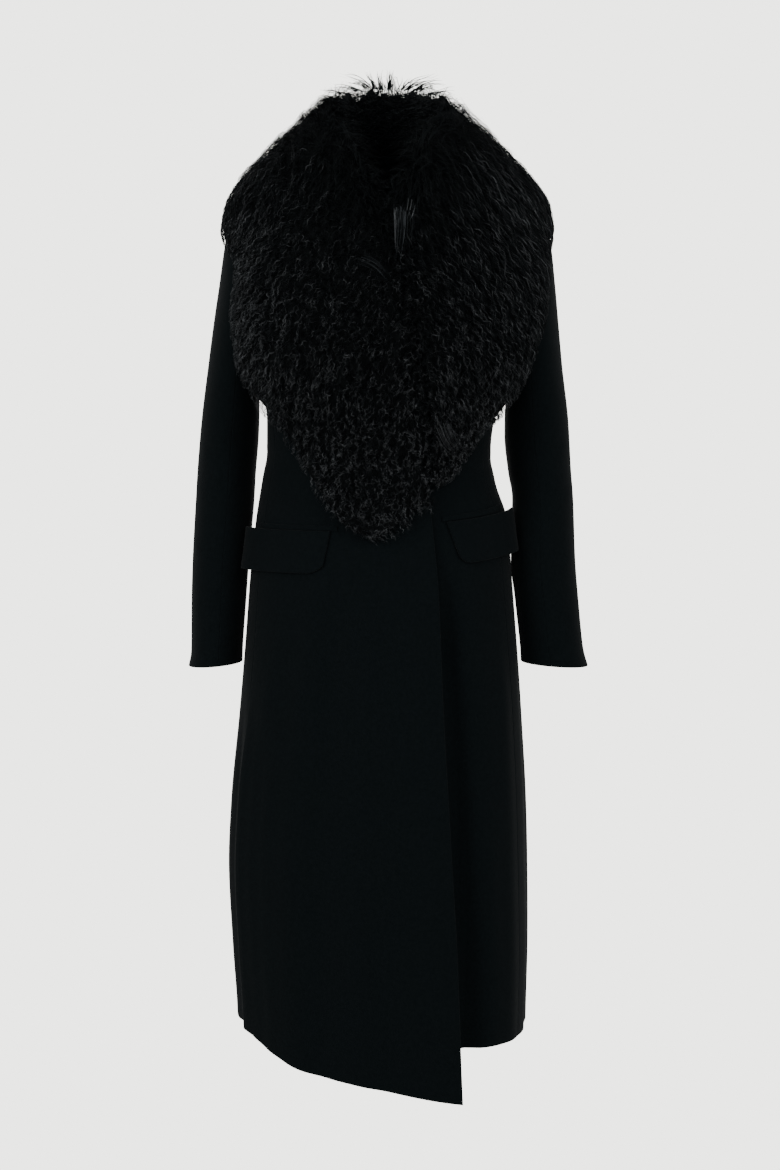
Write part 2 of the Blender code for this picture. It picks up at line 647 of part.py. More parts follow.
def make_pockets(material):
    """A flap on each front, with a narrow jet above it."""
    for pocket in POCKETS:
        hand = "_right" if pocket.side < 0 else "_left"
        surface = right_front if pocket.side < 0 else left_front
        rows = []
        distances = []
        for r in range(FLAP_ROWS + 1):
            down = r / FLAP_ROWS
            row = []
            distance_row = []
            for c in range(FLAP_COLUMNS + 1):
                across = 1.0 - (1.0 - c / FLAP_COLUMNS) ** COLUMN_CROWDING
                top = pocket.top_outer + (pocket.top_inner - pocket.top_outer) * across
                corner = max(0.0, (across - CORNER_START) / (1.0 - CORNER_START))
                z = top - (pocket.drop - CORNER_RISE * corner ** 2) * down
                inner_x = pocket.inner_top + (pocket.inner_bottom - pocket.inner_top) * down
                inner_angle = abs(front_angle(BODY, pocket.side * inner_x, z))
                angle = pocket.outer_angle + (inner_angle - pocket.outer_angle) * across
                row.append((pocket.side * angle, z))
                distance_row.append(PATCH_GAP + pocket.stand * ease((angle - STAND_FROM) / STAND_SPAN))
            rows.append(row)
            distances.append(distance_row)
        raised_patch("flap" + hand, surface, rows, distances, FLAP_CLOTH, material)
        rows = []
        for lift in (SEAM_GAP + JET_HEIGHT, SEAM_GAP):
            row = []
            for c in range(FLAP_COLUMNS + 1):
                across = c / FLAP_COLUMNS
                z = pocket.top_outer + (pocket.top_inner - pocket.top_outer) * across + lift
                inner_angle = abs(front_angle(BODY, pocket.side * pocket.jet_inner, z))
                row.append((pocket.side * (JET_OUTER + (inner_angle - JET_OUTER) * across), z))
            rows.append(row)
        distances = [[PATCH_GAP] * (FLAP_COLUMNS + 1)] * 2
        raised_patch("jet" + hand, surface, rows, distances, JET_CLOTH, material)


def fur_ring(inner_angle, inner_z, outer_angle, outer_z, thick, edge, stand, lean):
    """Closed section of the fur collar: its underside on the bed, then its arched outside."""
    under = []
    over = []
    for i in range(COLLAR_ARC + 1):
        share = (1.0 - math.cos(math.pi * i / COLLAR_ARC)) / 2.0
        angle = inner_angle + (outer_angle - inner_angle) * share
        z = inner_z + (outer_z - inner_z) * share
        foot = bed(angle, z)
        under.append(foot)
        if i in (0, COLLAR_ARC):
            continue
        arch = (1.0 - abs(2.0 * share - 1.0) ** FUR_ROUNDNESS) ** (1.0 / FUR_ROUNDNESS)
        height = (edge + (thick - edge) * (1.0 - share) ** FUR_TAPER) * arch
        a = math.radians(angle)
        inward = Vector((-math.sin(a), math.cos(a), 0.0))
        top = foot + outward(bed, angle, z) * height
        top += inward * lean * arch * (1.0 - share) ** 4
        top.z += stand * arch * (1.0 - share) ** 3
        over.append(top)
    return under, over


def fur_pad(name, rings, material):
    """Closed pad through a row of fur sections."""
    loops = [under + over[::-1] for under, over in rings]
    count = len(loops[0])
    points = [point for loop in loops for point in loop]
    faces = []
    for r in range(len(loops) - 1):
        for k in range(count):
            n = (k + 1) % count
            faces.append((r * count + k, r * count + n, (r + 1) * count + n, (r + 1) * count + k))
    for base, flip in ((0, True), ((len(loops) - 1) * count, False)):
        last = COLLAR_ARC
        strips = [(0, 1, count - 1)]
        strips += [(i, i + 1, count - 1 - i, count - i) for i in range(1, last - 1)]
        strips.append((last - 1, last, last + 1))
        for strip in strips:
            face = tuple(base + k for k in strip)
            faces.append(face[::-1] if flip else face)
    return make_object(name, points, faces, material)


def make_collar(material):
    """Fur round the neck's back and down the two lapels."""
    rings = []
    for i in range(BACK_COLLAR_STATIONS + 1):
        turn = 90.0 + SHOULDER_GAP + (180.0 - 2.0 * SHOULDER_GAP) * i / BACK_COLLAR_STATIONS
        values = [column(BACK_FUR, "off", name, abs(turn - 180.0)) for name in BackFur._fields[1:]]
        inner_z, outer_z, thick, edge, stand, lean = values
        rings.append(fur_ring(turn, inner_z, turn, outer_z, thick, edge, stand, lean))
    fur_pad("collar_back", rings, material)
    for name, table, side in (("lapel_right", RIGHT_FUR, -1), ("lapel_left", LEFT_FUR, 1)):
        inner_angles = [front_angle(BED, row.inner_x, row.inner_z) for row in table]
        outer_angles = [front_angle(BED, row.outer_x, row.outer_z) for row in table]
        inner_angles[0] = side * (90.0 - SHOULDER_GAP)
        outer_angles[0] = side * (90.0 - SHOULDER_GAP)
        places = list(range(len(table)))
        rings = []
        for i in range(LAPEL_STATIONS + 1):
            place = (len(table) - 1) * i / LAPEL_STATIONS
            inner_angle = between(places, inner_angles, place)
            outer_angle = between(places, outer_angles, place)
            inner_z, outer_z = (along(table, key, place) for key in ("inner_z", "outer_z"))
            pile = [along(table, key, place) for key in ("thick", "edge", "stand", "lean")]
            rings.append(fur_ring(inner_angle, inner_z, outer_angle, outer_z, *pile))
        fur_pad(name, rings, material)


def main():
    """Builds the coat."""
    for thing in list(bpy.data.objects):
        bpy.data.objects.remove(thing, do_unlink=True)
    wool = make_material("wool", WOOL_COLOR, 0.85)
    fur = make_material("fur", FUR_COLOR, 0.70)
    make_fronts(wool)
    make_backs(wool)
    make_sleeves(wool)
    make_pockets(wool)
    make_collar(fur)


main()
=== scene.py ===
"""Midi coat of black wool with a long curly fur collar, hollow and upright as a wearer fills it.

Metres, +Z up, the front looks to -Y, and the wearer's right side is -X. The origin is the middle
of the neck opening. Each cloth piece is a closed thin wall with rolled edges, and each fur piece
is a dark pad with curled locks of pile growing out of it.
"""
from __future__ import annotations

import logging
import math
from collections.abc import Callable, Sequence
from dataclasses import dataclass, field
from enum import Enum
from typing import NamedTuple

import bpy
import numpy as np
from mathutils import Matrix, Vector

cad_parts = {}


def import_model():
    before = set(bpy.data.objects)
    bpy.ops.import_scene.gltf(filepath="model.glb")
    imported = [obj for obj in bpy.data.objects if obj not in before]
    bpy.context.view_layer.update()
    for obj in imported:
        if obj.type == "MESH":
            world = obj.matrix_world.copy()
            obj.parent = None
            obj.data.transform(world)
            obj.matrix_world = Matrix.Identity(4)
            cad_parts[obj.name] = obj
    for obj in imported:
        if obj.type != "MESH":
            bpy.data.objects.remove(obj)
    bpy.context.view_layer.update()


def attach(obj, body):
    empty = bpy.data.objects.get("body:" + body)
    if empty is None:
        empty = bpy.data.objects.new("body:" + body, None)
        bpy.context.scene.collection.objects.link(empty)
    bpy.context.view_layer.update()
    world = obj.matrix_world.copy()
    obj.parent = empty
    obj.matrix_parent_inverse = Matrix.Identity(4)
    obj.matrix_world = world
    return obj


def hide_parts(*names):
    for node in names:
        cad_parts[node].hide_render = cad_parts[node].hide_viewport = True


log = logging.getLogger("midi_coat")

Array = np.ndarray
Surface = Callable[[Array, Array], Array]
Colour = tuple[float, float, float, float]

# Cloth and seams
CLOTH = 0.0026
SLEEVE_CLOTH = 0.0022
FLAP_CLOTH = 0.0030
JET_CLOTH = 0.0012
SEAM_GAP = 0.0003
SEAM_LAP = 0.00025
ARMHOLE_LAP = 0.0005
EDGE_ROUND = 0.0010
EDGE_LEAST = 0.03
EDGE_STEPS = (0.0, 0.0003, 0.0008, 0.0016, 0.0030)

# Spacing of the points of the cloth
SHOULDER_ROWS = 0.0070
ARMHOLE_ROWS = 46
SKIRT_ROWS = 0.0078
FRONT_COLUMNS = 0.0080
BACK_COLUMNS = 0.0072
SLEEVE_SPACING = 0.0058
SLEEVE_SAMPLES = 400
FLAP_SPACING = 0.0030
JET_SPACING = 0.0028
JET_ROWS = (0.0, 0.05, 0.15, 0.3, 0.5, 0.7, 0.85, 0.95, 1.0)

# Small steps for slopes and normals: degrees and metres, then places and shares
TINY = 1e-9
TURN_STEP = 0.3
RISE_STEP = 0.0008
SLEEVE_PLACE_STEP = 0.03
SLEEVE_TURN_STEP = 0.5
PAD_PLACE_STEP = 0.01
PAD_SHARE_STEP = 0.02
ANGLE_ROUNDS = 12

# Heights of the cut
NECK_TOP = -0.0200
SHOULDER_TIP = -0.0760
UNDERARM = -0.2620
HEM_SIDE = -1.1500
HEM_EASE_FROM = -0.8000
HEM_EASE_POWER = 1.5

# Angles round the body, in degrees: 0 is the centre front, 90 the side, 180 the centre back
SIDE_SEAM = 64.0
UNDERARM_SEAM = 89.0
SIDE_SEAM_BENDS = 0.14
ARMHOLE_SCOOP = 0.0200

# The right front lies over the left one
LAP_RISE = 0.0045
LAP_STARTS = -0.128
LAP_FULL = -0.072
LAP_TOP = -0.050
LAP_FADE = 0.100
EDGE_ROLL = 0.105

# Folds and creases
FOLD_FADE = 0.14
CREASE_BOW = 0.8
CREASE_FADE = 0.35
CREASE_SHARPNESS = 1.6

# Sleeves
CAP_END = 3.0
FRONT_SLEEVE_SEAM = 100.0
BACK_SLEEVE_SEAM = -120.0
SLEEVE_SEAM_TURN = -0.25
SLEEVE_GIRTH = 0.27
FRONT_OF_SLEEVE = 90.0

# Pockets
JET_HEIGHT = 0.0065
JET_WIDE = 0.085
JET_OUTER = 68.0
FLAP_DEEP = 0.0545
FLAP_WIDE = 0.110
COLUMN_CROWDING = 1.5
CORNER_START = 0.87
CORNER_RISE = 0.0100
STAND_FROM = 52.0
STAND_SPAN = 28.0
FLAP_RIPPLE = 0.0009
RIPPLE_UNEVEN = 0.4
RIPPLE_TURN = 0.19
PATCH_GAP = 0.0007

# Form of the fur
FUR_ROUNDNESS = 3.2
FUR_TAPER = 1.5
SHOULDER_GAP = 0.12
STAND_TAPER = 4.2
PAD_LAP = 0.014
PAD_END = 0.985
PAD_FACE_ROUNDNESS = 7.0
PILE_REACH_IN = 1.34
PILE_REACH_OUT = 1.05
PILE_CLEAR = 0.0012
SHARE_LOW = -0.16
SHARE_HIGH = 1.06
LAST_CELL = 1.001
BACK_STATIONS = 41

# Lumpy pad under the locks
BASE_ROWS = 96
BASE_ARC = 34
BASE_FIRST = 0.003
BASE_SPAN = 0.967
LUMP_WAVES = 14
LUMP_ALONG = (20, 90)
LUMP_ACROSS = (10, 45)
LUMP_HEIGHT = 0.30
LUMP_SEED = 5

# Spread of the locks over the pile, and their way out of it
SPREAD_ROWS = 90
SPREAD_COLUMNS = 60
SPREAD_LEVEL = 0.8
NECK_EDGE = 0.14
NECK_SCATTER = 60.0
TURNED_SCATTER = 25.0
SLOWEST_WAY = 0.3
LYING_PART = 0.86
LEAST_ROOM = 0.25
SHORTEST_RUN = 1e-6
HAIR_LENGTHS = (0.72, 1.16)
LOCK_LENGTHS = (0.8, 1.15)
LOCK_CLOSING = 0.42
CLOSING_POWER = 0.8
LOCK_WIDENING = 0.7
TOP_HEIGHTS = (0.82, 1.01)
TOP_UNEVEN = 0.04
RISING_PART = 0.7
TIP_PART = 0.3
TIP_DROP = 0.06

# Curl of a lock
LOOSE_SHARE = 0.45
PHASE_UNEVEN = 0.30
WAVE_SIZES = (0.85, 1.2)
CURL_SIZES = (0.6, 1.3)
CURL_STARTS = 0.3
CURL_GROWTH = 0.25
CURL_FLATNESS = 0.75
CURL_LIFT = 0.6

# Which hairs take the glossy finish, whose lighter colour is painted glints, with more of them low down and
# in a painted light patch on the wearer's right shoulder
GLOSSY_PAINTED_GLINT_SHARE = 0.28
LOWER_PAINTED_LIGHT = 0.24
PAINTED_LIGHT_LEVEL = -0.27
PAINTED_LIGHT_FADE = 0.16
PAINTED_LIGHT_PATCH = 0.50
BRIGHT_X = -0.185
BRIGHT_Z = -0.255
BRIGHT_WIDE = 0.040
BRIGHT_HIGH = 0.085
# Painted shade: hairs round the throat, along the lapels' inner rim and in the turned locks take the darker
# shaded finish
RIM_SHARE = 0.12
RIM_LEVEL = -0.11
THROAT_WIDE = 0.112
THROAT_FADE = 0.30
THROAT_HIGH = 0.125
THROAT_DEEP = 0.03
THROAT_LEVEL = -0.055
SAMPLED_STEP = 4

# Ribbons of hair
TWIST = 0.55
TWIST_ALONG = 1.1
HAIR_WIDTHS = (0.7, 1.2)
TIP_NARROWING = 0.88
TIP_POWER = 1.6

# Loose tufts on top
TUFT_SEED = 41
TUFT_STEPS = 10
TUFT_LEAN_UNEVEN = 5.0
TUFT_TURN_UNEVEN = 9.0
TUFT_LENGTHS = (0.62, 1.04)
TUFT_WAVE = 0.0009
TUFT_WAVES = 1.3
TUFT_DEEP = 0.004
TUFT_FORWARD = 0.25
TUFT_HAIR = 0.0013

# Smooth combed locks, lighter by painted sheen
COMBED_SEED = 51
COMBED_STEPS = 13
COMBED_ROWS = 160
COMBED_COLUMNS = 120
COMBED_SKIP = 4
COMBED_LENGTHS = (0.70, 1.05)
COMBED_STARTS = (-0.10, 0.16)
COMBED_UNEVEN = 0.4
COMBED_NARROWING = 0.35
COMBED_CLEAR = 0.0015
COMBED_DEEP = 0.0025
COMBED_HAIR = 0.0009


class Side(Enum):
    """The wearer's side of a piece."""

    RIGHT = -1
    LEFT = 1

    @property
    def sign(self) -> int:
        """-1 to the wearer's right and 1 to the left."""
        return self.value

    @property
    def word(self) -> str:
        """The side's name inside a piece's name."""
        return self.name.lower()


class Held(Enum):
    """How a cloth piece is carried."""

    HUNG = "hung"
    LAID = "laid"


class Section(NamedTuple):
    """Level section: half widths to the wearer's right and left, depths to front and back."""

    z: float
    right: float
    left: float
    front: float
    back: float
    square: float


BODY = tuple(Section(*row) for row in (
    (-0.018, 0.0720, 0.0750, 0.061, 0.056, 0.00),
    (-0.036, 0.1110, 0.1140, 0.074, 0.076, 0.00),
    (-0.054, 0.1460, 0.1490, 0.084, 0.089, 0.01),
    (-0.076, 0.1770, 0.1800, 0.093, 0.099, 0.03),
    (-0.105, 0.1900, 0.1930, 0.101, 0.106, 0.04),
    (-0.140, 0.1940, 0.1970, 0.109, 0.110, 0.05),
    (-0.190, 0.1860, 0.1880, 0.118, 0.111, 0.05),
    (-0.230, 0.1750, 0.1760, 0.123, 0.108, 0.05),
    (-0.262, 0.1670, 0.1660, 0.125, 0.104, 0.05),
    (-0.320, 0.1580, 0.1520, 0.119, 0.094, 0.04),
    (-0.368, 0.1534, 0.1445, 0.111, 0.086, 0.04),
    (-0.405, 0.1535, 0.1405, 0.107, 0.082, 0.04),
    (-0.447, 0.1600, 0.1460, 0.107, 0.086, 0.04),
    (-0.500, 0.1685, 0.1625, 0.111, 0.098, 0.04),
    (-0.579, 0.1768, 0.1690, 0.119, 0.112, 0.05),
    (-0.659, 0.1830, 0.1760, 0.126, 0.120, 0.05),
    (-0.750, 0.1910, 0.1825, 0.134, 0.126, 0.06),
    (-0.872, 0.2030, 0.1886, 0.143, 0.133, 0.06),
    (-0.953, 0.2066, 0.1908, 0.148, 0.137, 0.06),
    (-1.060, 0.2020, 0.1925, 0.152, 0.141, 0.06),
    (-1.160, 0.1960, 0.1905, 0.155, 0.144, 0.06),
    (-1.250, 0.1950, 0.1890, 0.158, 0.146, 0.06),
))

BED = tuple(Section(*row) for row in (
    (-0.0165, 0.0720, 0.0750, 0.062, 0.057, 0.00),
    (-0.0345, 0.1110, 0.1140, 0.076, 0.078, 0.00),
    (-0.0525, 0.1470, 0.1500, 0.087, 0.092, 0.02),
    (-0.0742, 0.1800, 0.1830, 0.098, 0.103, 0.05),
    (-0.1000, 0.2000, 0.2055, 0.108, 0.111, 0.08),
    (-0.1400, 0.2110, 0.2160, 0.118, 0.116, 0.10),
    (-0.1900, 0.2190, 0.2240, 0.127, 0.118, 0.11),
    (-0.2400, 0.2240, 0.2280, 0.132, 0.115, 0.11),
    (-0.2900, 0.2220, 0.2240, 0.133, 0.110, 0.10),
    (-0.3350, 0.2050, 0.2040, 0.127, 0.104, 0.08),
    (-0.3850, 0.1800, 0.1760, 0.118, 0.096, 0.06),
    (-0.4300, 0.1720, 0.1640, 0.115, 0.094, 0.05),
    (-0.4800, 0.1760, 0.1710, 0.117, 0.100, 0.05),
    (-0.5400, 0.1850, 0.1800, 0.124, 0.110, 0.05),
))


class Edge(NamedTuple):
    """Where the two fronts' free edges run, and how far the right one stands off the left."""

    z: float
    right_x: float
    left_x: float
    roll: float


EDGES = tuple(Edge(*row) for row in (
    (-0.018, -0.0690, 0.0720, 0.000),
    (-0.050, -0.0480, 0.0510, 0.000),
    (-0.085, -0.0200, 0.0300, 0.000),
    (-0.125, 0.0080, 0.0100, 0.000),
    (-0.175, 0.0220, -0.0060, 0.000),
    (-0.230, 0.0330, -0.0200, 0.000),
    (-0.300, 0.0430, -0.0340, 0.000),
    (-0.380, 0.0510, -0.0460, 0.001),
    (-0.470, 0.0570, -0.0540, 0.002),
    (-0.580, 0.0660, -0.0560, 0.005),
    (-0.735, 0.0710, -0.0560, 0.009),
    (-0.960, 0.0825, -0.0560, 0.013),
    (-1.250, 0.0980, -0.0560, 0.017),
))


class Hem(NamedTuple):
    """Height of the hem at one angle."""

    angle: float
    z: float


HEM_RIGHT_FRONT = tuple(Hem(*row) for row in (
    (-90, -1.152),
    (-64, -1.161),
    (-45, -1.181),
    (-28, -1.199),
    (-8, -1.212),
    (12, -1.227),
    (35, -1.242),
))
HEM_LEFT_FRONT = tuple(Hem(*row) for row in (
    (-30, -1.176),
    (30, -1.175),
    (64, -1.172),
    (90, -1.168),
))
HEM_BACK = tuple(Hem(*row) for row in (
    (-180, -1.150),
    (-110, -1.149),
    (-64, -1.161),
    (64, -1.172),
    (110, -1.162),
    (180, -1.150),
))


class Fold(NamedTuple):
    """Soft upright fold; half is in degrees, and a negative depth goes in."""

    top: float
    bottom: float
    angle_top: float
    angle_bottom: float
    half: float
    depth: float


FRONT_FOLDS = tuple(Fold(*row) for row in (
    (-0.54, -1.20, -16, -21, 8, -0.0045),
    (-0.52, -1.16, -3, -6, 8, 0.0030),
    (-0.56, -1.14, -29, -33, 8, 0.0025),
    (-0.72, -1.10, -49, -50, 6, -0.0018),
    (-0.70, -1.17, -63, -63, 6, 0.0040),
))
UNDER_FOLDS = tuple(Fold(*row) for row in (
    (-0.52, -1.24, 26, 34, 16, -0.0075),
    (-0.60, -1.22, 55, 57, 9, 0.0025),
    (-0.54, -1.27, 26, 34, 8, -0.0110),
))
BACK_FOLDS = tuple(Fold(*row) for row in (
    (-0.70, -1.14, -72, -73, 6, -0.0045),
    (-0.58, -1.20, -118, -122, 14, -0.0070),
    (-0.60, -1.20, -148, -152, 12, 0.0060),
    (-0.58, -1.20, 84, 82, 10, -0.0030),
    (-0.60, -1.20, 120, 124, 14, -0.0065),
    (-0.62, -1.20, 151, 149, 12, 0.0060),
))


class Crease(NamedTuple):
    """Short soft crease from one place to another, in degrees round and height."""

    angle_a: float
    z_a: float
    angle_b: float
    z_b: float
    half: float
    depth: float


RIGHT_CREASES = tuple(Crease(*row) for row in (
    (-62, -0.352, -30, -0.405, 0.010, -0.0016),
    (-62, -0.392, -22, -0.428, 0.011, 0.0013),
    (-60, -0.440, -26, -0.452, 0.012, -0.0012),
    (-8, -0.545, -30, -0.640, 0.020, 0.0016),
    (6, -0.560, -8, -0.720, 0.016, -0.0015),
    (-40, -0.610, -47, -0.800, 0.018, 0.0012),
    (2, -0.900, -2, -1.140, 0.022, 0.0016),
    (-36, -0.820, -41, -1.120, 0.020, -0.0014),
))
LEFT_CREASES = tuple(Crease(*row) for row in (
    (62, -0.356, 34, -0.398, 0.010, -0.0015),
    (60, -0.398, 28, -0.436, 0.011, 0.0013),
    (58, -0.455, 34, -0.462, 0.012, -0.0010),
    (40, -0.600, 46, -0.900, 0.016, -0.0016),
    (50, -0.840, 47, -1.130, 0.018, 0.0014),
))
BACK_CREASES = tuple(Crease(*row) for row in (
    (-88, -0.360, -128, -0.398, 0.012, -0.0016),
    (-84, -0.405, -122, -0.424, 0.012, 0.0012),
    (92, -0.356, 130, -0.396, 0.012, -0.0016),
    (88, -0.404, 118, -0.420, 0.012, 0.0012),
    (-150, -0.410, 208, -0.416, 0.014, -0.0012),
    (-98, -0.700, -104, -1.120, 0.022, 0.0020),
    (101, -0.720, 104, -1.120, 0.022, 0.0018),
    (-166, -0.640, -170, -1.110, 0.020, -0.0018),
    (168, -0.660, 166, -1.120, 0.020, -0.0016),
))
RIGHT_SLEEVE_CREASES = tuple(Crease(*row) for row in (
    (40, -0.395, 118, -0.428, 0.009, -0.0022),
    (62, -0.432, 132, -0.446, 0.009, 0.0016),
    (30, -0.458, 112, -0.436, 0.010, -0.0018),
    (70, -0.352, 140, -0.392, 0.011, -0.0016),
    (20, -0.520, 96, -0.548, 0.012, 0.0012),
    (-60, -0.400, -8, -0.412, 0.014, 0.0012),
    (48, -0.600, 104, -0.622, 0.012, -0.0011),
    (150, -0.330, 196, -0.350, 0.010, -0.0018),
))
LEFT_SLEEVE_CREASES = tuple(Crease(*row) for row in (
    (36, -0.388, 112, -0.420, 0.009, -0.0020),
    (58, -0.424, 128, -0.444, 0.009, 0.0016),
    (26, -0.450, 106, -0.462, 0.010, -0.0018),
    (74, -0.346, 138, -0.380, 0.011, -0.0015),
    (24, -0.536, 92, -0.556, 0.012, 0.0012),
    (-64, -0.396, -12, -0.416, 0.014, 0.0012),
    (44, -0.612, 98, -0.630, 0.012, -0.0010),
    (152, -0.326, 198, -0.352, 0.010, -0.0018),
))


class Ring(NamedTuple):
    """Sleeve ring: outer and inner points, half depth, and how far it lies behind."""

    out_z: float
    out_right: float
    out_left: float
    in_z: float
    in_right: float
    in_left: float
    depth: float
    behind: float


SLEEVE = tuple(Ring(*row) for row in (
    (-0.0760, 0.1775, 0.1805, -0.2620, 0.1680, 0.1670, 0.0720, 0.000),
    (-0.1000, 0.1965, 0.2020, -0.2720, 0.1700, 0.1690, 0.0700, 0.000),
    (-0.1340, 0.2059, 0.2165, -0.2840, 0.1705, 0.1695, 0.0680, 0.001),
    (-0.1900, 0.2145, 0.2235, -0.3020, 0.1690, 0.1670, 0.0650, 0.003),
    (-0.2400, 0.2225, 0.2285, -0.3220, 0.1660, 0.1630, 0.0625, 0.006),
    (-0.3000, 0.2310, 0.2345, -0.3500, 0.1635, 0.1590, 0.0600, 0.009),
    (-0.3680, 0.2400, 0.2429, -0.3880, 0.1648, 0.1588, 0.0580, 0.012),
    (-0.4330, 0.2460, 0.2470, -0.4370, 0.1690, 0.1640, 0.0560, 0.014),
    (-0.4730, 0.2486, 0.2502, -0.4730, 0.1712, 0.1695, 0.0548, 0.014),
    (-0.5520, 0.2532, 0.2533, -0.5520, 0.1785, 0.1680, 0.0520, 0.012),
    (-0.6050, 0.2548, 0.2576, -0.6050, 0.1824, 0.1735, 0.0500, 0.010),
    (-0.6720, 0.2555, 0.2647, -0.6690, 0.1870, 0.1805, 0.0480, 0.007),
    (-0.6925, 0.2590, 0.2705, -0.6870, 0.1875, 0.1815, 0.0490, 0.006),
))


class Pocket(NamedTuple):
    """Sizes of a flap and the jet above it, as distances across the front."""

    side: Side
    outer_angle: float
    inner_top: float
    inner_bottom: float
    top_outer: float
    top_inner: float
    drop: float
    stand: float
    jet_inner: float


RIGHT_POCKET = Pocket(Side.RIGHT, 80, 0.0655, 0.0750, -0.5080, -0.5080, 0.0545, 0.0100, 0.0570)
LEFT_POCKET = Pocket(Side.LEFT, 80, 0.0790, 0.0960, -0.4850, -0.4970, 0.0540, 0.0080, 0.0740)


class BackFur(NamedTuple):
    """Fur behind the neck; off counts degrees from the centre back."""

    off: float
    inner_z: float
    outer_z: float
    thick: float
    edge: float
    stand: float
    lean: float


BACK_FUR = tuple(BackFur(*row) for row in (
    (0, -0.0170, -0.185, 0.044, 0.022, 0.094, 0.030),
    (45, -0.0170, -0.165, 0.039, 0.018, 0.078, 0.029),
    (90, -0.0170, -0.106, 0.042, 0.005, 0.053, 0.028),
))


class Fur(NamedTuple):
    """Fur of a lapel: its inner and outer points, its heights, and how it stands and leans."""

    inner_x: float
    inner_z: float
    outer_x: float
    outer_z: float
    thick: float
    edge: float
    stand: float
    lean: float


RIGHT_FUR = tuple(Fur(*row) for row in (
    (-0.075, -0.017, -0.182, -0.110, 0.038, 0.004, 0.058, 0.028),
    (-0.052, -0.048, -0.184, -0.177, 0.036, 0.013, 0.05, 0.018),
    (-0.022, -0.085, -0.184, -0.25, 0.05, 0.028, 0.014, 0.004),
    (0.008, -0.125, -0.168, -0.318, 0.052, 0.03, 0.0, 0.0),
    (0.03, -0.215, -0.121, -0.386, 0.05, 0.031, 0.0, 0.0),
    (0.046, -0.325, -0.079, -0.466, 0.044, 0.028, 0.0, 0.0),
    (0.0535, -0.41, -0.046, -0.508, 0.036, 0.024, 0.0, 0.0),
    (0.0565, -0.474, -0.008, -0.522, 0.016, 0.014, 0.0, 0.0),
))
LEFT_FUR = tuple(Fur(*row) for row in (
    (0.078, -0.017, 0.204, -0.106, 0.041, 0.005, 0.060, 0.028),
    (0.056, -0.048, 0.202, -0.165, 0.044, 0.022, 0.05, 0.018),
    (0.031, -0.085, 0.196, -0.232, 0.05, 0.03, 0.014, 0.004),
    (0.012, -0.125, 0.18, -0.29, 0.05, 0.033, 0.0, 0.0),
    (0.034, -0.215, 0.157, -0.336, 0.046, 0.032, 0.0, 0.0),
    (0.048, -0.3, 0.122, -0.378, 0.04, 0.028, 0.0, 0.0),
    (0.055, -0.38, 0.092, -0.434, 0.03, 0.021, 0.0, 0.0),
    (0.0605, -0.44, 0.069, -0.456, 0.014, 0.012, 0.0, 0.0),
))


def ease(value: Array) -> Array:
    """Goes softly from 0 to 1 as the value does."""
    value = np.clip(value, 0.0, 1.0)
    return value * value * (3.0 - 2.0 * value)


def unit(vectors: Array) -> Array:
    """Vectors of length 1."""
    return vectors / np.maximum(np.linalg.norm(vectors, axis=-1, keepdims=True), TINY)


def steps_between(length: float, spacing: float, both: bool = True) -> Array:
    """Places along a length, crowded where an edge is rolled.

    Args:
        length: The whole length.
        spacing: Rough distance of the plain places.
        both: Whether both ends are crowded, or the first alone.

    Returns:
        Rising distances from 0 to the length.
    """
    start = np.array(EDGE_STEPS)
    end = length - start[::-1] if both else np.array([length])
    count = max(2, round((end[0] - start[-1]) / spacing))
    middle = np.linspace(start[-1], end[0], count + 1)[1:-1]
    return np.concatenate([start, middle, end])


class Line:
    """Smooth line through values at given places, without overshoot."""

    def __init__(self, places: Sequence[float], values: Sequence[float]) -> None:
        """Prepares the line.

        Args:
            places: Where the values lie, all rising or all falling.
            values: One value for each place.
        """
        order = np.argsort(np.asarray(places, float))
        self.places = np.asarray(places, float)[order]
        self.values = np.asarray(values, float)[order]
        slopes = np.diff(self.values) / np.diff(self.places)
        before, after = slopes[:-1], slopes[1:]
        same = before * after > 0.0
        total = np.where(same, before + after, 1.0)
        inner = np.where(same, 2.0 * before * after / total, 0.0)
        self.tangents = np.concatenate([slopes[:1], inner, slopes[-1:]])

    def __call__(self, at: Array) -> Array:
        """Reads the line, and holds its end values outside it."""
        at = np.clip(at, self.places[0], self.places[-1])
        low = np.clip(np.searchsorted(self.places, at, side="right") - 1, 0, len(self.places) - 2)
        span = self.places[low + 1] - self.places[low]
        t = (at - self.places[low]) / span
        start = (2 * t ** 3 - 3 * t ** 2 + 1) * self.values[low]
        start = start + (t ** 3 - 2 * t ** 2 + t) * span * self.tangents[low]
        end = (3 * t ** 2 - 2 * t ** 3) * self.values[low + 1]
        return start + end + (t ** 3 - t ** 2) * span * self.tangents[low + 1]

    def beyond(self, at: Array) -> Array:
        """Reads the line, and runs straight on outside it."""
        below = np.minimum(at - self.places[0], 0.0) * self.tangents[0]
        above = np.maximum(at - self.places[-1], 0.0) * self.tangents[-1]
        return self(at) + below + above


def table_line(rows: Sequence[NamedTuple], key: str, name: str) -> Line:
    """Line through one named column of a table, which its key column orders."""
    return Line([getattr(row, key) for row in rows], [getattr(row, name) for row in rows])


def place_line(rows: Sequence[NamedTuple], name: str) -> Line:
    """Line through one named column of a table, by the row's number."""
    return Line(range(len(rows)), [getattr(row, name) for row in rows])


